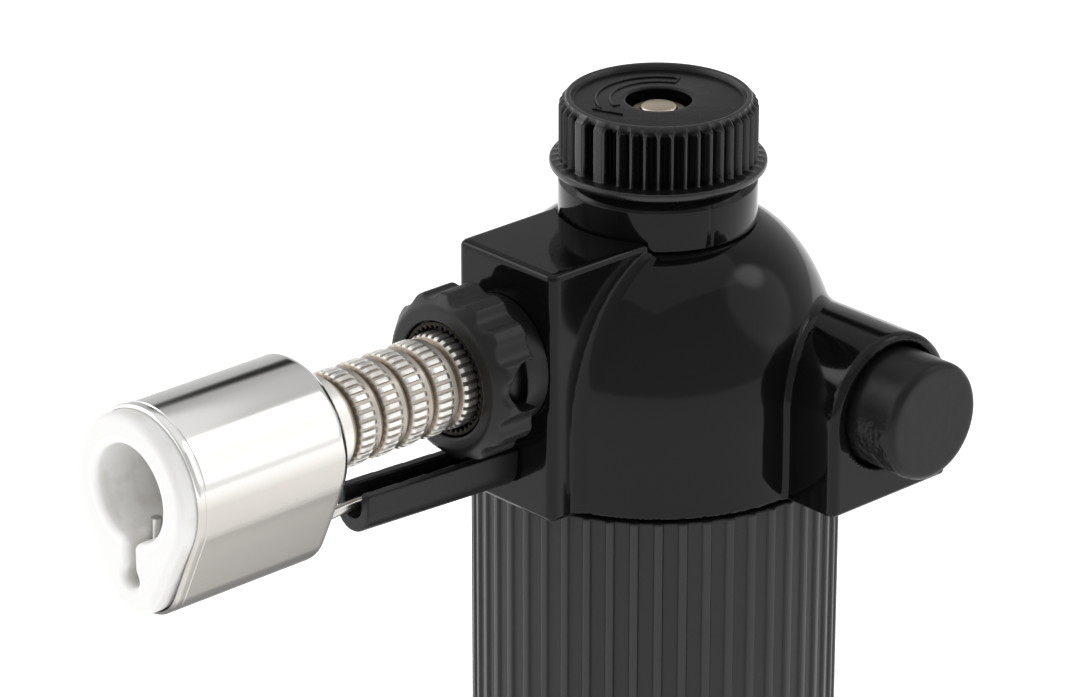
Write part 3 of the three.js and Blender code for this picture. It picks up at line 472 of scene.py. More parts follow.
def trough_distance(points):
    x, y, z = split(points)
    forward, up = -y - CHANNEL_REAR, z - CHANNEL_HEIGHT
    cos, sin = math.cos(CHANNEL_SLOPE), math.sin(CHANNEL_SLOPE)
    depth, lift = forward * cos + up * sin, up * cos - forward * sin
    bar = common(
        np.hypot(x, np.minimum(lift, 0)) - CHANNEL_HALF_WIDTH, lift - CHANNEL_TOP, 0.15
    )
    bar = common(bar, slab(depth, 0, CHANNEL_FRONT - CHANNEL_REAR), 0.2)
    above_floor = np.minimum(lift - CHANNEL_FLOOR + CHANNEL_WALL, 0)
    inside = np.hypot(x, above_floor) - CHANNEL_HALF_WIDTH + CHANNEL_WALL
    return without(bar, inside, 0.15)


# ---- Materials --------------------------------------------------------------------------------

SHINE_SPREAD = 0.05


class Look:
    """A Principled material built up from procedural nodes."""

    def __init__(self, name, colour, roughness, metallic=0.0, specular=0.5):
        self.material = bpy.data.materials.new(name)
        self.material.use_nodes = True
        self.tree = self.material.node_tree
        self.shader = self.tree.nodes["Principled BSDF"]
        self.shader.inputs["Metallic"].default_value = metallic
        self.shader.inputs["Specular IOR Level"].default_value = specular
        self.shader.inputs["Roughness"].default_value = roughness
        self.shader.inputs["Base Color"].default_value = (*colour, 1)
        self.place = self.tree.nodes.new("ShaderNodeTexCoord").outputs["Object"]

    def node(self, kind, **settings):
        made = self.tree.nodes.new(kind)
        for key, value in settings.items():
            setattr(made, key, value)
        return made

    def wire(self, value, socket):
        if hasattr(value, "is_output"):
            self.tree.links.new(value, socket)
        else:
            socket.default_value = value
        return socket

    def maths(self, operation, a, b=0.0):
        made = self.node("ShaderNodeMath", operation=operation)
        self.wire(a, made.inputs[0])
        self.wire(b, made.inputs[1])
        return made.outputs[0]

    def noise(self, per_metre, detail=3.0, stretch=(1, 1, 1)):
        scaled = self.node("ShaderNodeMapping")
        scaled.inputs["Scale"].default_value = stretch
        self.tree.links.new(self.place, scaled.inputs["Vector"])
        made = self.node("ShaderNodeTexNoise")
        made.inputs["Scale"].default_value = per_metre
        made.inputs["Detail"].default_value = detail
        self.tree.links.new(scaled.outputs[0], made.inputs["Vector"])
        return made.outputs["Fac"]

    def along(self, axis):
        """Position along the object's X, Y or Z, in metres."""
        apart = self.node("ShaderNodeSeparateXYZ")
        self.tree.links.new(self.place, apart.inputs[0])
        return apart.outputs[axis]

    def reach(self, *axes):
        """Distance from the line where each (axis, middle in millimetres) is at its middle."""
        total = 0.0
        for axis, middle in axes:
            offset = self.maths("SUBTRACT", self.along(axis), middle * MM)
            total = self.maths("ADD", self.maths("MULTIPLY", offset, offset), total)
        return self.maths("SQRT", total)

    def span(self, value, low, high, from_low=0.0, from_high=1.0):
        made = self.node("ShaderNodeMapRange")
        self.wire(value, made.inputs["Value"])
        made.inputs["From Min"].default_value = from_low
        made.inputs["From Max"].default_value = from_high
        made.inputs["To Min"].default_value = low
        made.inputs["To Max"].default_value = high
        return made.outputs["Result"]

    def blend(self, share, first, second):
        made = self.node("ShaderNodeMix", data_type="RGBA")
        self.wire(share, made.inputs["Factor"])
        for socket, value in ((made.inputs[6], first), (made.inputs[7], second)):
            if hasattr(value, "is_output"):
                self.tree.links.new(value, socket)
            else:
                socket.default_value = (*value, 1)
        return made.outputs[2]

    def coloured(self, value):
        self.tree.links.new(value, self.shader.inputs["Base Color"])
        return self

    def rough(self, value):
        self.tree.links.new(value, self.shader.inputs["Roughness"])
        return self

    def bump(self, height, depth_mm):
        made = self.node("ShaderNodeBump")
        made.inputs["Strength"].default_value = 1.0
        made.inputs["Distance"].default_value = depth_mm * MM
        self.tree.links.new(height, made.inputs["Height"])
        self.tree.links.new(made.outputs["Normal"], self.shader.inputs["Normal"])
        return self


def moulded(name, colour, roughness, specular=0.5, grain_mm=0.01):
    """Moulded plastic or rubber: a faint cloud in its shine and a fine grain."""
    look = Look(name, colour, roughness, specular=specular)
    cloud = look.noise(90)
    look.rough(look.span(cloud, roughness - SHINE_SPREAD, roughness + SHINE_SPREAD))
    look.coloured(look.blend(cloud, colour, [min(1, c * 1.25) for c in colour]))
    return look.bump(look.noise(2600, 2), grain_mm).material


def metal(name, colour, roughness):
    """Plain metal with soft clouds in its shine."""
    look = Look(name, colour, roughness, metallic=1.0)
    streak = look.noise(260, 4)
    look.rough(look.span(streak, roughness - SHINE_SPREAD, roughness + SHINE_SPREAD))
    look.coloured(look.blend(look.noise(60), colour, [c * 0.86 for c in colour]))
    return look.bump(look.noise(1500, 3), 0.004).material


def grip_plastic():
    """Dark matte plastic whose narrow ridges are rubbed smoother than the wide flutes, and painted
    lighter as a painted highlight.
    """
    look = Look("grip_plastic", (0.012, 0.012, 0.0125), 0.5, specular=0.40)
    angle = look.maths("ARCTAN2", look.along("Y"), look.along("X"))
    wave = look.maths(
        "COSINE", look.maths("MULTIPLY", look.maths("SUBTRACT", angle, RIDGE_ANGLE), GRIP_RIDGES)
    )
    ridge = look.span(wave, 0, 1, 0.35, 0.6)
    grain = look.noise(900, 3)
    # Painted highlight: the ridges get a lighter colour than the flutes.
    look.coloured(look.blend(ridge, (0.009, 0.009, 0.0095), (0.016, 0.016, 0.0165)))
    look.rough(look.maths("ADD", look.span(ridge, 0.52, 0.36), look.span(grain, -0.04, 0.04)))
    return look.bump(look.noise(3000, 2), 0.012).material


def head_plastic():
    """Polished black plastic with faint moulding swirls and a few fine scratches."""
    look = Look("gloss_black", (0.0035, 0.0035, 0.0037), 0.07, specular=0.20)
    swirl = look.noise(45, 4)
    look.rough(look.span(swirl, 0.04, 0.12))
    look.coloured(look.blend(swirl, (0.003, 0.003, 0.0032), (0.005, 0.005, 0.0052)))
    return look.bump(look.noise(70, 2), 0.012).material


def button_rubber():
    """Satin black with scuffed dents on the side of the rim that the thumb meets."""
    look = Look("button_rubber", (0.009, 0.009, 0.0095), 0.34, specular=0.22)
    low = look.span(look.along("Z"), 1, 0, (IGNITER_HEIGHT - 4) * MM, (IGNITER_HEIGHT + 2) * MM)
    near = look.span(look.along("Y"), 1, 0, (IGNITER_OFFSET - 5) * MM, IGNITER_OFFSET * MM)
    side = look.span(look.along("X"), 1, 0, (BUTTON_END - 0.9) * MM, (BUTTON_END - 0.3) * MM)
    worn = look.maths("MULTIPLY", look.maths("MULTIPLY", low, near), side)
    dents = look.noise(620, 3)
    look.rough(look.span(dents, 0.26, 0.42))
    look.coloured(look.blend(worn, (0.007, 0.007, 0.0075), (0.011, 0.011, 0.011)))
    height = look.maths("MULTIPLY", dents, look.maths("ADD", worn, 0.04))
    return look.bump(height, 0.9).material


def knob_plastic():
    """Black plastic with painted shade in the valleys between the ribs: darker and less shiny there
    than on the ribs, top and flange.
    """
    look = Look("knob_plastic", (0.0045, 0.0045, 0.0047), 0.26, specular=0.42)
    radius = look.reach(("X", 0), ("Y", 0))
    crest = look.span(radius, 0, 1, (KNOB_RADIUS - 0.65) * MM, (KNOB_RADIUS - 0.15) * MM)
    above = look.span(look.along("Z"), 0, 1, (KNOB_TOP - 0.8) * MM, (KNOB_TOP - 0.2) * MM)
    below = look.span(look.along("Z"), 1, 0, (KNOB_BASE + 0.9) * MM, (KNOB_BASE + 1.3) * MM)
    # Painted shade: outside this mask, the rib valleys get a darker colour and less shine than the
    # ribs, top and flange.
    outside_valley_shade = look.maths("MAXIMUM", look.maths("MAXIMUM", crest, above), below)
    look.tree.links.new(
        look.span(outside_valley_shade, 0.02, 0.5), look.shader.inputs["Specular IOR Level"]
    )
    cloud = look.noise(150, 4)
    look.rough(look.span(cloud, 0.20, 0.34))
    look.coloured(look.blend(outside_valley_shade, (0.0008, 0.0008, 0.0008), (0.0055, 0.0055, 0.0057)))
    return look.bump(look.noise(500, 3), 0.02).material


def sleeve_steel():
    """Polished stainless sheet, drawn along its length, with painted shade on its lower half and
    darker painted shade on its underside.
    """
    look = Look("stainless", (0.80, 0.78, 0.76), 0.14, metallic=1.0)
    streak = look.noise(420, 4, (1, 0.06, 1))
    height = look.maths("SUBTRACT", look.along("Z"), BURNER_HEIGHT * MM)
    flank = look.span(height, 0.32, 0.0, -5.0 * MM, -0.5 * MM)
    look.rough(look.maths("ADD", look.span(streak, 0.08, 0.17), flank))
    cloud = look.span(look.noise(160, 4, (1, 0.3, 1)), -0.10, 0.10)
    # Painted shade: the colour darkens below the burner's axis, broken up by a random cloud.
    lower = look.maths("ADD", look.span(height, 1, 0, 0.2 * MM, 2.2 * MM), cloud)
    # Painted shade: a dark band along the underside of the lower lobe.
    under = look.span(height, 1, 0, -12.0 * MM, -10.6 * MM)
    steel_with_painted_shade = look.blend(lower, (0.82, 0.81, 0.79), (0.55, 0.525, 0.49))
    look.coloured(look.blend(under, steel_with_painted_shade, (0.17, 0.165, 0.16)))
    return look.bump(look.noise(120, 3, (1, 0.15, 1)), 0.02).material


def tube_nickel():
    """Nickel plate with warm tarnish that gathers in its grooves."""
    look = Look("nickel", (0.80, 0.76, 0.70), 0.24, metallic=1.0)
    radius = look.reach(("X", 0), ("Z", BURNER_HEIGHT))
    crest = look.span(radius, 0, 1, 4.84 * MM, 5.18 * MM)
    look.rough(look.span(look.noise(500, 3), 0.30, 0.44))
    look.coloured(look.blend(crest, (0.25, 0.21, 0.165), (0.82, 0.80, 0.76)))
    return look.bump(look.noise(1400, 2), 0.01).material


def ceramic():
    """White, with a whiter flame bore as painted light, and faint brown clouds near its rim."""
    look = Look("white_ceramic", (0.82, 0.815, 0.80), 0.42, specular=0.4)
    radius = look.reach(("X", 0), ("Z", BURNER_HEIGHT))
    # Painted light: inside the flame bore the colour is whiter than on the face and sides.
    outside = look.span(radius, 0, 1, 5.1 * MM, 6.2 * MM)
    side = look.span(look.along("Y"), 0, 1, -(MOUTH_FRONT - 0.4) * MM, -(MOUTH_FRONT - 1.4) * MM)
    stain = look.maths("MULTIPLY", look.span(look.noise(300, 4), 0, 0.5, 0.45, 0.75), side)
    body = look.blend(outside, (0.93, 0.93, 0.92), (0.80, 0.795, 0.78))
    look.coloured(look.blend(stain, body, (0.56, 0.50, 0.44)))
    look.shader.inputs["Subsurface Weight"].default_value = 0.15
    look.shader.inputs["Subsurface Radius"].default_value = (0.002, 0.0018, 0.0016)
    look.shader.inputs["Subsurface Scale"].default_value = 0.5
    return look.bump(look.noise(1600, 3), 0.012).material


def make_looks():
    black = (0.0065, 0.0065, 0.0068)
    return {
        "stand_plastic": moulded("stand_plastic", black, 0.40),
        "grip_plastic": grip_plastic(),
        "black_plastic": moulded("black_plastic", black, 0.36, specular=0.28),
        "gloss_black": head_plastic(),
        "button_rubber": button_rubber(),
        "knob_plastic": knob_plastic(),
        "seal_rubber": moulded("seal_rubber", (0.012, 0.012, 0.012), 0.6),
        "valve_brass": metal("valve_brass", (0.78, 0.60, 0.32), 0.26),
        "spindle_brass": metal("spindle_brass", (0.86, 0.75, 0.58), 0.3),
        # dark_brass is near black: partly the insert's own dark finish, partly painted shade where it
        # sits in shadow inside the ring.
        "dark_brass": metal("dark_brass", (0.022, 0.019, 0.014), 0.42),
        "nickel": tube_nickel(),
        "stainless": sleeve_steel(),
        "spring_steel": metal("spring_steel", (0.62, 0.61, 0.59), 0.25),
        "white_ceramic": ceramic(),
        "pale_plastic": moulded("pale_plastic", (0.66, 0.63, 0.54), 0.4),
        "cotton": moulded("cotton", (0.80, 0.76, 0.62), 0.9, grain_mm=0.05),
        "lead_sleeve": moulded("lead_sleeve", (0.008, 0.008, 0.008), 0.55),
    }


# ---- Pieces -----------------------------------------------------------------------------------


def soft_step(value):
    """0 well below zero, 1 well above it."""
    return 1 / (1 + np.exp(-value))


def make_stand(look):
    socket = GRIP_RADIUS + 0.3
    rim = socket + 2.2
    return turned(
        "stand",
        [
            (0, 0, 0),
            (STAND_RADIUS, 0, 1.0),
            (STAND_RADIUS, 3.4, 1.2),
            (rim + 0.6, STAND_HEIGHT - 4, 2.0),
            (rim, STAND_HEIGHT, 0.7),
            (socket, STAND_HEIGHT, 0.6),
            (socket, 5, 0),
            (0, 5, 0),
        ],
        look,
        segments=192,
    )


def make_grip(look):
    def ridged(radius, height, angle):
        crest = soft_step(14 * (np.cos((angle - RIDGE_ANGLE) * GRIP_RIDGES) - 0.45))
        outside = radius > GRIP_BORE + 1
        return radius - np.where(outside, RIDGE_HEIGHT * (1 - crest), 0)

    top = HEAD_BASE - 0.4
    return turned(
        "grip",
        [
            (GRIP_BORE, GRIP_FOOT, 0),
            (GRIP_RADIUS, GRIP_FOOT, 0.4),
            (GRIP_RADIUS, top, 0.25),
            (GRIP_BORE, top, 0),
        ],
        look,
        segments=GRIP_RIDGES * 16,
        shape=ridged,
    )


def make_collar(look):
    seam = math.radians(-12.4)

    def seamed(radius, height, angle):
        offset = (angle - seam + math.pi) % (2 * math.pi) - math.pi
        dip = np.exp(-((offset * radius / 0.22) ** 2))
        low = height < COLLAR_TOP - 1.0
        return radius - np.where((radius > NECK_RADIUS - 0.1) & low, 0.06 * dip, 0)

    return turned(
        "collar",
        [
            (VALVE_RADIUS + 0.1, NECK_BASE, 0),
            (NECK_RADIUS, NECK_BASE, 0.12),
            (NECK_RADIUS, COLLAR_TOP - 1.1, 0.3),
            (NECK_RADIUS - 0.9, COLLAR_TOP, 0.3),
            (8.6, COLLAR_TOP, 0.2),
            (8.6, COLLAR_TOP - 3, 0),
            (VALVE_RADIUS + 0.1, COLLAR_TOP - 3, 0),
        ],
        look,
        segments=480,
        shape=seamed,
    )


def make_knob(look):
    """Ribbed all round, with two wide pads side by side that mark its setting."""
    pads = [math.radians(-96.7), math.radians(-80.7)]
    pad_half = math.radians(4.4)

    def ribbed(radius, height, angle):
        ribs = np.exp(-((np.cos(angle * KNOB_RIBS / 2) / 0.8) ** 2))
        for pad in pads:
            offset = np.abs((angle - pad + math.pi) % (2 * math.pi) - math.pi)
            pad_shape = soft_step((pad_half - offset) * 160)
            clear = soft_step((pad_half + math.radians(3.2) - offset) * 160)
            ribs = np.maximum(ribs * (1 - clear), pad_shape)
        run = np.clip((height - KNOB_BASE - 0.9) / 0.35, 0, 1)
        run *= np.clip((KNOB_TOP - 0.05 - height) / 1.1, 0, 1)
        skirt = radius > KNOB_RADIUS - 1.1
        return radius - np.where(skirt, 0.9 * (1 - ribs) * run, 0)

    under = KNOB_BASE + 4.4
    return turned(
        "knob",
        [
            (2.1, KNOB_BASE + 0.2, 0),
            (4.4, KNOB_BASE + 0.2, 0.3),
            (4.4, under, 0),
            (8.8, under, 0),
            (8.8, KNOB_BASE, 0.3),
            (KNOB_FLANGE_RADIUS, KNOB_BASE, 0.4),
            (KNOB_FLANGE_RADIUS, KNOB_BASE + 0.9, 0.35),
            (KNOB_RADIUS, KNOB_BASE + 1.15, 0.12),
            (KNOB_RADIUS, KNOB_TOP - 0.95, 0.5),
            (9.8, KNOB_TOP, 0.25),
            (9.35, KNOB_TOP, 0.2),
            (9.1, KNOB_TOP - 0.6, 0.15),
            (KNOB_EYE, KNOB_TOP - KNOB_DISH, 0.2),
            (KNOB_EYE, under, 0),
            (2.1, under, 0),
        ],
        look,
        segments=KNOB_RIBS * 20,
        shape=ribbed,
        spacing=0.45,
    )


def make_arrow(look):
    """The raised outline of a curved arrow on the knob's top."""
    outer, inner, barb = 6.7, 5.2, 0.8
    middle = (outer + inner) / 2
    start, end, tip = (math.radians(angle) for angle in (117, 250, 276))
    corners = [(outer, angle) for angle in np.linspace(start, end, 24)]
    corners += [(outer + barb, end), (middle, tip), (inner - barb, end)]
    corners += [(inner, angle) for angle in np.linspace(end, start, 24)]
    curve = bpy.data.curves.new("knob_arrow", "CURVE")
    curve.dimensions = "3D"
    curve.bevel_depth = 0.14 * MM
    curve.bevel_resolution = 3
    line = curve.splines.new("POLY")
    line.points.add(len(corners) - 1)
    line.use_cyclic_u = True
    for knot, (radius, angle) in zip(line.points, corners):
        x, y = radius * math.cos(angle), radius * math.sin(angle)
        knot.co = (x * MM, y * MM, (KNOB_TOP - KNOB_DISH) * MM, 1)
    curve.materials.append(look)
    arrow = bpy.data.objects.new("knob_arrow", curve)
    bpy.context.scene.collection.objects.link(arrow)
    return arrow


def make_spindle(look):
    """A tapered needle below and a flat head above, with a smaller raised disc on the head."""
    tip = BURNER_HEIGHT - 5.2
    head = SPINDLE_HEAD
    return turned(
        "spindle",
        [
            (0, tip, 0),
            (0.5, tip, 0),
            (1.1, tip + 2, 0),
            (1.1, tip + 8, 0),
            (2.0, tip + 8.6, 0),
            (2.0, head, 0),
            (3.05, head, 0.2),
            (3.05, head + 0.9, 0.3),
            (2.1, head + 0.8, 0.1),
            (1.9, head + 1.35, 0.25),
            (0, head + 1.35, 0),
        ],
        look,
        segments=96,
    )


def make_hub(look):
    return turned(
        "hub",
        [
            (4.4, 18.6, 0),
            (HUB_RADIUS, 18.6, 0),
            (HUB_RADIUS, BOX_FRONT + 0.1, 0),
            (7.0, BOX_FRONT + 0.1, 0.1),
            (7.0, AIR_RING_REAR - 0.2, 0.2),
            (HUB_RADIUS, AIR_RING_REAR - 0.2, 0),
            (HUB_RADIUS, 29.2, 0.2),
            (4.4, 29.2, 0),
        ],
        look,
        ALONG_BURNER,
    )


def make_insert(look):
    def toothed(radius, height, angle):
        inner = radius < 5.7
        return radius + np.where(inner, 0.35 * soft_step(4 * np.cos(angle * INSERT_TEETH)), 0)

    return turned(
        "ring_insert",
        [(5.4, 29.4, 0.1), (6.15, 29.4, 0.1), (6.15, 30.75, 0.1), (5.4, 30.75, 0.15)],
        look,
        ALONG_BURNER,
        segments=INSERT_TEETH * 12,
        shape=toothed,
    )


def make_tube(look):
    """Bands of rounded teeth with hollows between them, then a smooth collar at the sleeve."""

    def knurled(radius, height, angle):
        band = (height - FIRST_BAND + BAND_PITCH / 2) % BAND_PITCH - BAND_PITCH / 2
        last = FIRST_BAND + (BANDS - 1) * BAND_PITCH
        banded = (height > FIRST_BAND - BAND_PITCH / 2) & (height < last + BAND_PITCH / 2)
        along = np.clip((BAND_HALF_WIDTH - np.abs(band)) / 0.4, 0, 1)
        tooth = np.clip(0.95 + 1.9 * np.cos(angle * TUBE_TEETH), 0, 1)
        raised = 0.26 * np.sqrt(along) * tooth * tooth * (3 - 2 * tooth)
        front = np.clip((band - BAND_HALF_WIDTH) / 0.2, 0, 1)
        front *= np.clip((BAND_PITCH / 2 + 0.05 - band) / 0.2, 0, 1)
        step = np.where(banded, raised - 0.42 * front * front * (3 - 2 * front), 0)
        return np.where(radius > 4.85, np.minimum(radius, 4.95) + step, radius)

    def shaped(radius, height, angle):
        collar = height > 47.1
        return np.where(collar, radius, knurled(radius, height, angle))

    return turned(
        "tube",
        [
            (3.6, 19, 0),
            (4.3, 19, 0),
            (4.3, 30.2, 0),
            (4.95, 30.4, 0),
            (4.95, 47.15, 0),
            (TUBE_RADIUS, 47.4, 0.2),
            (TUBE_RADIUS, SLEEVE_REAR - 0.1, 0.2),
            (4.5, SLEEVE_REAR - 0.1, 0),
            (4.5, 61.6, 0),
            (3.6, 61.6, 0),
        ],
        look,
        ALONG_BURNER,
        segments=TUBE_TEETH * 12,
        shape=shaped,
        spacing=0.14,
    )


def teardrop_loop(inset, count):
    """Points round the sleeve's teardrop, from one side of its big lobe."""
    big, small = MOUTH_RADIUS - inset, SLEEVE_FOOT_RADIUS - inset
    lean = math.asin((big - small) / SLEEVE_LOBE_SPACING)
    loop = []
    for i in range(count):
        share = i / count
        big_share = 0.62
        if share < big_share:
            angle = -lean + (math.pi + 2 * lean) * share / big_share
            loop.append((big * math.cos(angle), big * math.sin(angle)))
        else:
            turn = (share - big_share) / (1 - big_share)
            angle = math.pi + lean + (math.pi - 2 * lean) * turn
            loop.append((small * math.cos(angle), small * math.sin(angle) - SLEEVE_LOBE_SPACING))
    return loop


def bend(depth, inset, radius, start, end, steps):
    """(depth, inset) points round a bend about the given centre."""
    turns = np.linspace(start, end, steps + 1)
    return [(depth + radius * math.sin(turn), inset - radius * math.cos(turn)) for turn in turns]


def sleeve_outline():
    """The sheet's section as (depth, inset) points: its front rim, side, rear edge and inside."""
    gap, rim, edge, crease = 0.1, 0.4, 1.6, 0.08
    wall = gap + SLEEVE_WALL
    inner_edge = edge - 0.4
    inner_rear = SLEEVE_REAR + 0.5
    quarter = math.pi / 2
    outline = [(SLEEVE_FRONT - 0.3, -gap), (SLEEVE_FRONT - 0.02, -gap + 0.04)]
    outline += bend(SLEEVE_FRONT - rim, -wall + rim, rim, quarter, 0, 6)
    for back, depth in ((0.85, 0), (0.95, crease), (1.05, crease), (1.15, 0)):
        outline.append((SLEEVE_FRONT - back, -wall + depth))
    outline += bend(SLEEVE_REAR + edge, -wall + edge, edge, 0, -quarter, 10)
    outline.append((SLEEVE_REAR, PLATE_INSET))
    outline.append((inner_rear, PLATE_INSET))
    outline += bend(inner_rear + inner_edge, -gap + inner_edge, inner_edge, -quarter, 0, 10)
    return outline


def make_sleeve(look):
    """A drawn cup of thin sheet: its side, its rounded rear edge and the rim of its rear wall."""
    outline = sleeve_outline()
    count = 200
    points = []
    for depth, inset in outline:
        points.extend((x, y, depth) for x, y in teardrop_loop(inset, count))
    rows = len(outline)
    faces = []
    for row in range(rows):
        below, above = row * count, (row + 1) % rows * count
        for i in range(count):
            after = (i + 1) % count
            faces.append((below + i, below + after, above + after, above + i))
    sleeve = mesh_object("sleeve", placed(points, ALONG_BURNER), faces, look)
    tidy(sleeve)
    return sleeve


def make_rear_plate(look):
    """The sleeve's rear wall inside its rounded edge, pierced for the tube and the electrode."""
    curve = bpy.data.curves.new("sleeve_rear", "CURVE")
    curve.dimensions = "2D"
    curve.fill_mode = "BOTH"
    curve.extrude = 0.25 * MM
    loops = [teardrop_loop(PLATE_INSET, 120)]
    for radius, drop in ((4.6, 0), (1.1, ELECTRODE_DROP)):
        loops.append(
            [
                (radius * math.cos(a), radius * math.sin(a) - drop)
                for a in np.linspace(0, 2 * math.pi, 64, endpoint=False)
            ]
        )
    for loop in loops:
        spline = curve.splines.new("POLY")
        spline.points.add(len(loop) - 1)
        spline.use_cyclic_u = True
        for knot, (x, y) in zip(spline.points, loop):
            knot.co = (x * MM, y * MM, 0, 1)
    curve.materials.append(look)
    plate = bpy.data.objects.new("sleeve_rear", curve)
    bpy.context.scene.collection.objects.link(plate)
    place = ALONG_BURNER.copy()
    place.translation = Vector((0, -SLEEVE_REAR - 0.25, BURNER_HEIGHT)) * MM
    plate.matrix_world = place
    return plate


def make_button(look):
    return turned(
        "button",
        [
            (0, BUTTON_END, 0),
            (BUTTON_RADIUS, BUTTON_END, 0.8),
            (BUTTON_RADIUS, BUTTON_REAR, 0.2),
            (BUTTON_RADIUS - 1.2, BUTTON_REAR, 0),
            (BUTTON_RADIUS - 1.2, BUTTON_END - 1.4, 0),
            (0, BUTTON_END - 1.4, 0),
        ],
        look,
        ALONG_IGNITER,
        segments=160,
        spacing=0.6,
    )


def make_electrode(look):
    low = BURNER_HEIGHT - LOBE_SPACING
    return rope(
        "electrode",
        [
            (0, -ELECTRODE_REAR, low - 1.2),
            (0, -CHANNEL_FRONT, low - 1.15),
            (0, -46.5, low - 1.3),
            (0, -SLEEVE_REAR - 0.5, BURNER_HEIGHT - ELECTRODE_DROP),
            (0, -54.5, low - 0.8),
            (0, -57.6, low),
            (0, -67, low),
            (0, -68.4, low + 0.6),
            (0, -69, low + 2.4),
            (0, -69, BURNER_HEIGHT - 3.6),
        ],
        ELECTRODE_RADIUS,
        look,
    )


def make_lead(look):
    low = CHANNEL_HEIGHT
    rise = (CHANNEL_FRONT - CHANNEL_REAR) * math.tan(CHANNEL_SLOPE)
    return rope(
        "lead",
        [
            (-11.3, IGNITER_OFFSET, IGNITER_HEIGHT - 1),
            (-12.6, IGNITER_OFFSET - 0.6, IGNITER_HEIGHT - 1.8),
            (-12.6, 3, low + 2.2),
            (-10.5, -6, low + 0.4),
            (-3.6, -14, low),
            (0, -19, low),
            (0, -CHANNEL_REAR, low + 0.1),
            (0, -ELECTRODE_REAR + 4, low + rise * 0.8),
            (0, -ELECTRODE_REAR + 0.2, BURNER_HEIGHT - LOBE_SPACING - 1.2),
        ],
        LEAD_RADIUS,
        look,
    )


def make_coil(name, radius, wire, low, high, turns, material, frame=UPRIGHT):
    """A coil spring: a round wire wound round local Z, from low to high."""
    steps, sides = turns * 36, 10
    share = np.linspace(0, 1, steps + 1)[:, None]
    turn = share * turns * 2 * math.pi
    round_wire = np.linspace(0, 2 * math.pi, sides, endpoint=False)[None, :]
    reach = radius + wire * np.cos(round_wire) + 0 * share
    lift = low + wire + (high - low - 2 * wire) * share + wire * np.sin(round_wire)
    points = np.stack([reach * np.cos(turn), reach * np.sin(turn), lift], -1)
    faces = [list(range(sides)), list(range(steps * sides, (steps + 1) * sides))]
    for step in range(steps):
        for side in range(sides):
            after = (side + 1) % sides
            start = step * sides
            faces.append((start + side, start + after, start + sides + after, start + sides + side))
    coil = mesh_object(name, placed(points.reshape(-1, 3), frame), faces, material)
    tidy(coil)
    return coil


def make_springs(look):
    """(object, CAD node, joint that shortens it, axis, fixed end, share left) for each spring."""
    button_coil = make_coil(
        "button_spring",
        radius=4.1,
        wire=0.35,
        low=BUTTON_SPRING_FOOT,
        high=BUTTON_SPRING_HEAD,
        turns=6,
        material=look,
        frame=ALONG_IGNITER,
    )
    refill_coil = make_coil(
        "refill_spring",
        radius=1.75,
        wire=0.25,
        low=REFILL_SPRING_FOOT,
        high=REFILL_SPRING_TOP,
        turns=4,
        material=look,
    )
    button_share = 1 - BUTTON_STROKE / (BUTTON_SPRING_HEAD - BUTTON_SPRING_FOOT)
    refill_share = 1 - REFILL_STROKE / (REFILL_SPRING_TOP - REFILL_SPRING_FOOT)
    return [
        (
            button_coil, "piezo_spring", "button_push",
            (1, 0, 0), (BUTTON_SPRING_FOOT * MM, 0, 0), button_share,
        ),
        (
            refill_coil, "refill_valve_spring", "refill_push",
            (0, 0, 1), (0, 0, REFILL_SPRING_TOP * MM), refill_share,
        ),
    ]


def make_pieces(looks):
    """(object, body, record slot, CAD nodes it stands for) for each piece made here."""
    ring_low, ring_high = (-10, -32, BURNER_HEIGHT - 10), (10, -24.6, BURNER_HEIGHT + 10)
    housing = carved(
        "housing", housing_distance, (-21, -23.5, HEAD_BASE - 3), (28, 21, BOX_TOP + 1),
        0.4, looks["gloss_black"],
    )
    ring = carved(
        "regulator_ring", air_ring_distance, ring_low, ring_high, 0.22, looks["black_plastic"]
    )
    mouth = carved(
        "mouth", ceramic_distance, (-9, -73.4, BURNER_HEIGHT - 14), (9, -57.2, BURNER_HEIGHT + 9),
        0.28, looks["white_ceramic"],
    )
    trough = carved(
        "trough", trough_distance, (-3.2, -44.4, HEAD_BASE + 1.6), (3.2, -21.6, HEAD_BASE + 9),
        0.2, looks["black_plastic"],
    )
    fixed, knob = "torch_body", "knob"
    return [
        (make_stand(looks["stand_plastic"]), "stand", "stand_plastic", ["stand_base"]),
        (make_grip(looks["grip_plastic"]), fixed, "grip_plastic", ["tank_shell"]),
        (housing, fixed, "gloss_black", ["head_housing"]),
        (make_collar(looks["gloss_black"]), fixed, "gloss_black", ["neck_collar"]),
        (make_knob(looks["knob_plastic"]), knob, "black_plastic", ["gas_knob"]),
        (make_arrow(looks["knob_plastic"]), knob, "black_plastic", []),
        (make_spindle(looks["spindle_brass"]), knob, "valve_brass", ["valve_spindle"]),
        (ring, "air_regulator", "black_plastic", ["air_ring"]),
        (make_hub(looks["black_plastic"]), fixed, "black_plastic", ["air_hub"]),
        (make_insert(looks["dark_brass"]), fixed, "dark_brass", ["tube_lock_ring"]),
        (make_tube(looks["nickel"]), fixed, "nickel", ["burner_tube"]),
        (make_sleeve(looks["stainless"]), fixed, "stainless", ["burner_sleeve"]),
        (make_rear_plate(looks["stainless"]), fixed, "stainless", []),
        (mouth, fixed, "white_ceramic", ["ceramic_mouth"]),
        (trough, fixed, "black_plastic", ["lead_channel"]),
        (make_button(looks["button_rubber"]), "igniter", "button_rubber", ["piezo_button"]),
        (make_electrode(looks["spring_steel"]), fixed, "spring_steel", ["electrode_rod"]),
        (make_lead(looks["lead_sleeve"]), fixed, "lead_sleeve", ["ignition_lead"]),
    ]


# ---- Studio -----------------------------------------------------------------------------------

TENT_SIDE = 0.68
TENT_TOP = 0.55
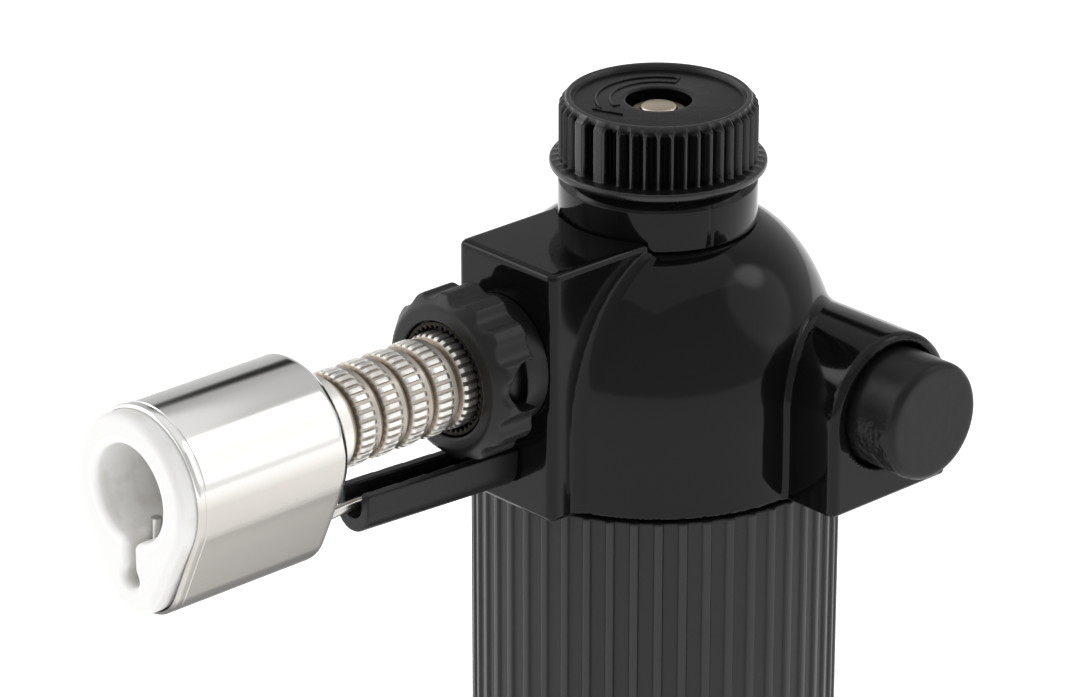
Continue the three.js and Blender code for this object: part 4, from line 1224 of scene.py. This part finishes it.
# Each panel: the direction it lies in, the angles of its core and fringe, and its strength.
PANELS = [
    ((0.621, 0.623, 0.476), 20, 27, 0.62),
    ((-0.605, 0.623, 0.495), 2, 9, -0.48),
    ((-0.62, 0.62, 0.48), 4, 26, -0.12),
    ((0.78, 0.62, 0.02), 5, 15, 0.30),
    ((-0.80, -0.58, 0.15), 18, 48, 0.80),
    ((-0.67, -0.38, 0.60), 6, 18, 2.2),
    ((0.376, 0.623, 0.653), 4, 12, 1.8),
]


def make_floor():
    side = 4.0
    mesh = bpy.data.meshes.new("floor")
    mesh.from_pydata(
        [(-side, -side, 0), (side, -side, 0), (side, side, 0), (-side, side, 0)], [], [(0, 1, 2, 3)]
    )
    floor = bpy.data.objects.new("floor", mesh)
    bpy.context.scene.collection.objects.link(floor)
    look = Look("floor", (0.93, 0.93, 0.93), 0.9, specular=0.0)
    look.shader.inputs["Emission Color"].default_value = (1, 1, 1, 1)
    look.shader.inputs["Emission Strength"].default_value = 0.5
    mesh.materials.append(look.material)


def make_light(name, place, target, size, power):
    data = bpy.data.lights.new(name, "AREA")
    data.shape = "RECTANGLE"
    data.size, data.size_y = size
    data.energy = power
    light = bpy.data.objects.new(name, data)
    light.location = place
    light.rotation_euler = (Vector(target) - Vector(place)).to_track_quat("-Z", "Y").to_euler()
    bpy.context.scene.collection.objects.link(light)


def make_lights():
    head = (0, 0, 0.12)
    make_light("overhead", (0, 0, 1.8), head, (2.4, 2.4), 7)
    make_light("front", (-0.5, -1.3, 0.5), head, (0.9, 0.7), 1)


def make_world():
    """A pale tent with soft bright panels, and dark gaps where a strength is below zero."""
    world = bpy.data.worlds.new("studio")
    bpy.context.scene.world = world
    world.use_nodes = True
    tree = world.node_tree
    place = tree.nodes.new("ShaderNodeTexCoord").outputs["Generated"]
    apart = tree.nodes.new("ShaderNodeSeparateXYZ")
    tree.links.new(place, apart.inputs[0])

    def mapped(value, low, high, from_low, from_high):
        made = tree.nodes.new("ShaderNodeMapRange")
        made.interpolation_type = "SMOOTHSTEP"
        tree.links.new(value, made.inputs["Value"])
        ends = {"From Min": from_low, "From Max": from_high, "To Min": low, "To Max": high}
        for socket, end in ends.items():
            made.inputs[socket].default_value = end
        return made.outputs["Result"]

    total = mapped(apart.outputs["Z"], TENT_SIDE, TENT_TOP, 0, 1)
    for direction, core, fringe, strength in PANELS:
        facing = tree.nodes.new("ShaderNodeVectorMath")
        facing.operation = "DOT_PRODUCT"
        tree.links.new(place, facing.inputs[0])
        facing.inputs[1].default_value = Vector(direction).normalized()
        cosines = [math.cos(math.radians(angle)) for angle in (fringe, core)]
        panel = mapped(facing.outputs["Value"], 0, strength, *cosines)
        add = tree.nodes.new("ShaderNodeMath")
        add.operation = "ADD"
        tree.links.new(total, add.inputs[0])
        tree.links.new(panel, add.inputs[1])
        total = add.outputs[0]
    tree.links.new(total, tree.nodes["Background"].inputs["Color"])


def make_camera():
    turn, lift = math.radians(47.2725), math.radians(23.4255)
    right = Vector((math.cos(turn), math.sin(turn), 0))
    back = Vector(
        (math.sin(turn) * math.cos(lift), -math.cos(turn) * math.cos(lift), math.sin(lift))
    )
    up = back.cross(right)
    data = bpy.data.cameras.new("camera")
    data.sensor_width = 36
    data.lens = 180.1
    data.clip_end = 20
    camera = bpy.data.objects.new("camera", data)
    place = Matrix((right, up, back)).transposed().to_4x4()
    place.translation = Vector((383.343, -371.146, 242.319 + HEAD_BASE)) * MM
    camera.matrix_world = place
    bpy.context.scene.collection.objects.link(camera)
    bpy.context.scene.camera = camera


# ---- Scene ------------------------------------------------------------------------------------


def main():
    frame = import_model()
    looks = make_looks()
    slots = {entry["node"]: entry["material_slot"] for entry in frame["record"]["subparts"]}
    for node, obj in frame["nodes"].items():
        obj.data.materials.clear()
        obj.data.materials.append(looks[slots[node]])
    for obj, body, slot, nodes in make_pieces(looks):
        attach(obj, body)
        if nodes:
            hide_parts(*nodes)
    for coil, node, joint, axis, anchor, share in make_springs(looks["spring_steel"]):
        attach(coil, "torch_body")
        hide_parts(node)
        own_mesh(coil)
    make_floor()
    make_lights()
    make_world()
    make_camera()
    bpy.context.scene.view_settings.view_transform = "Standard"


main()
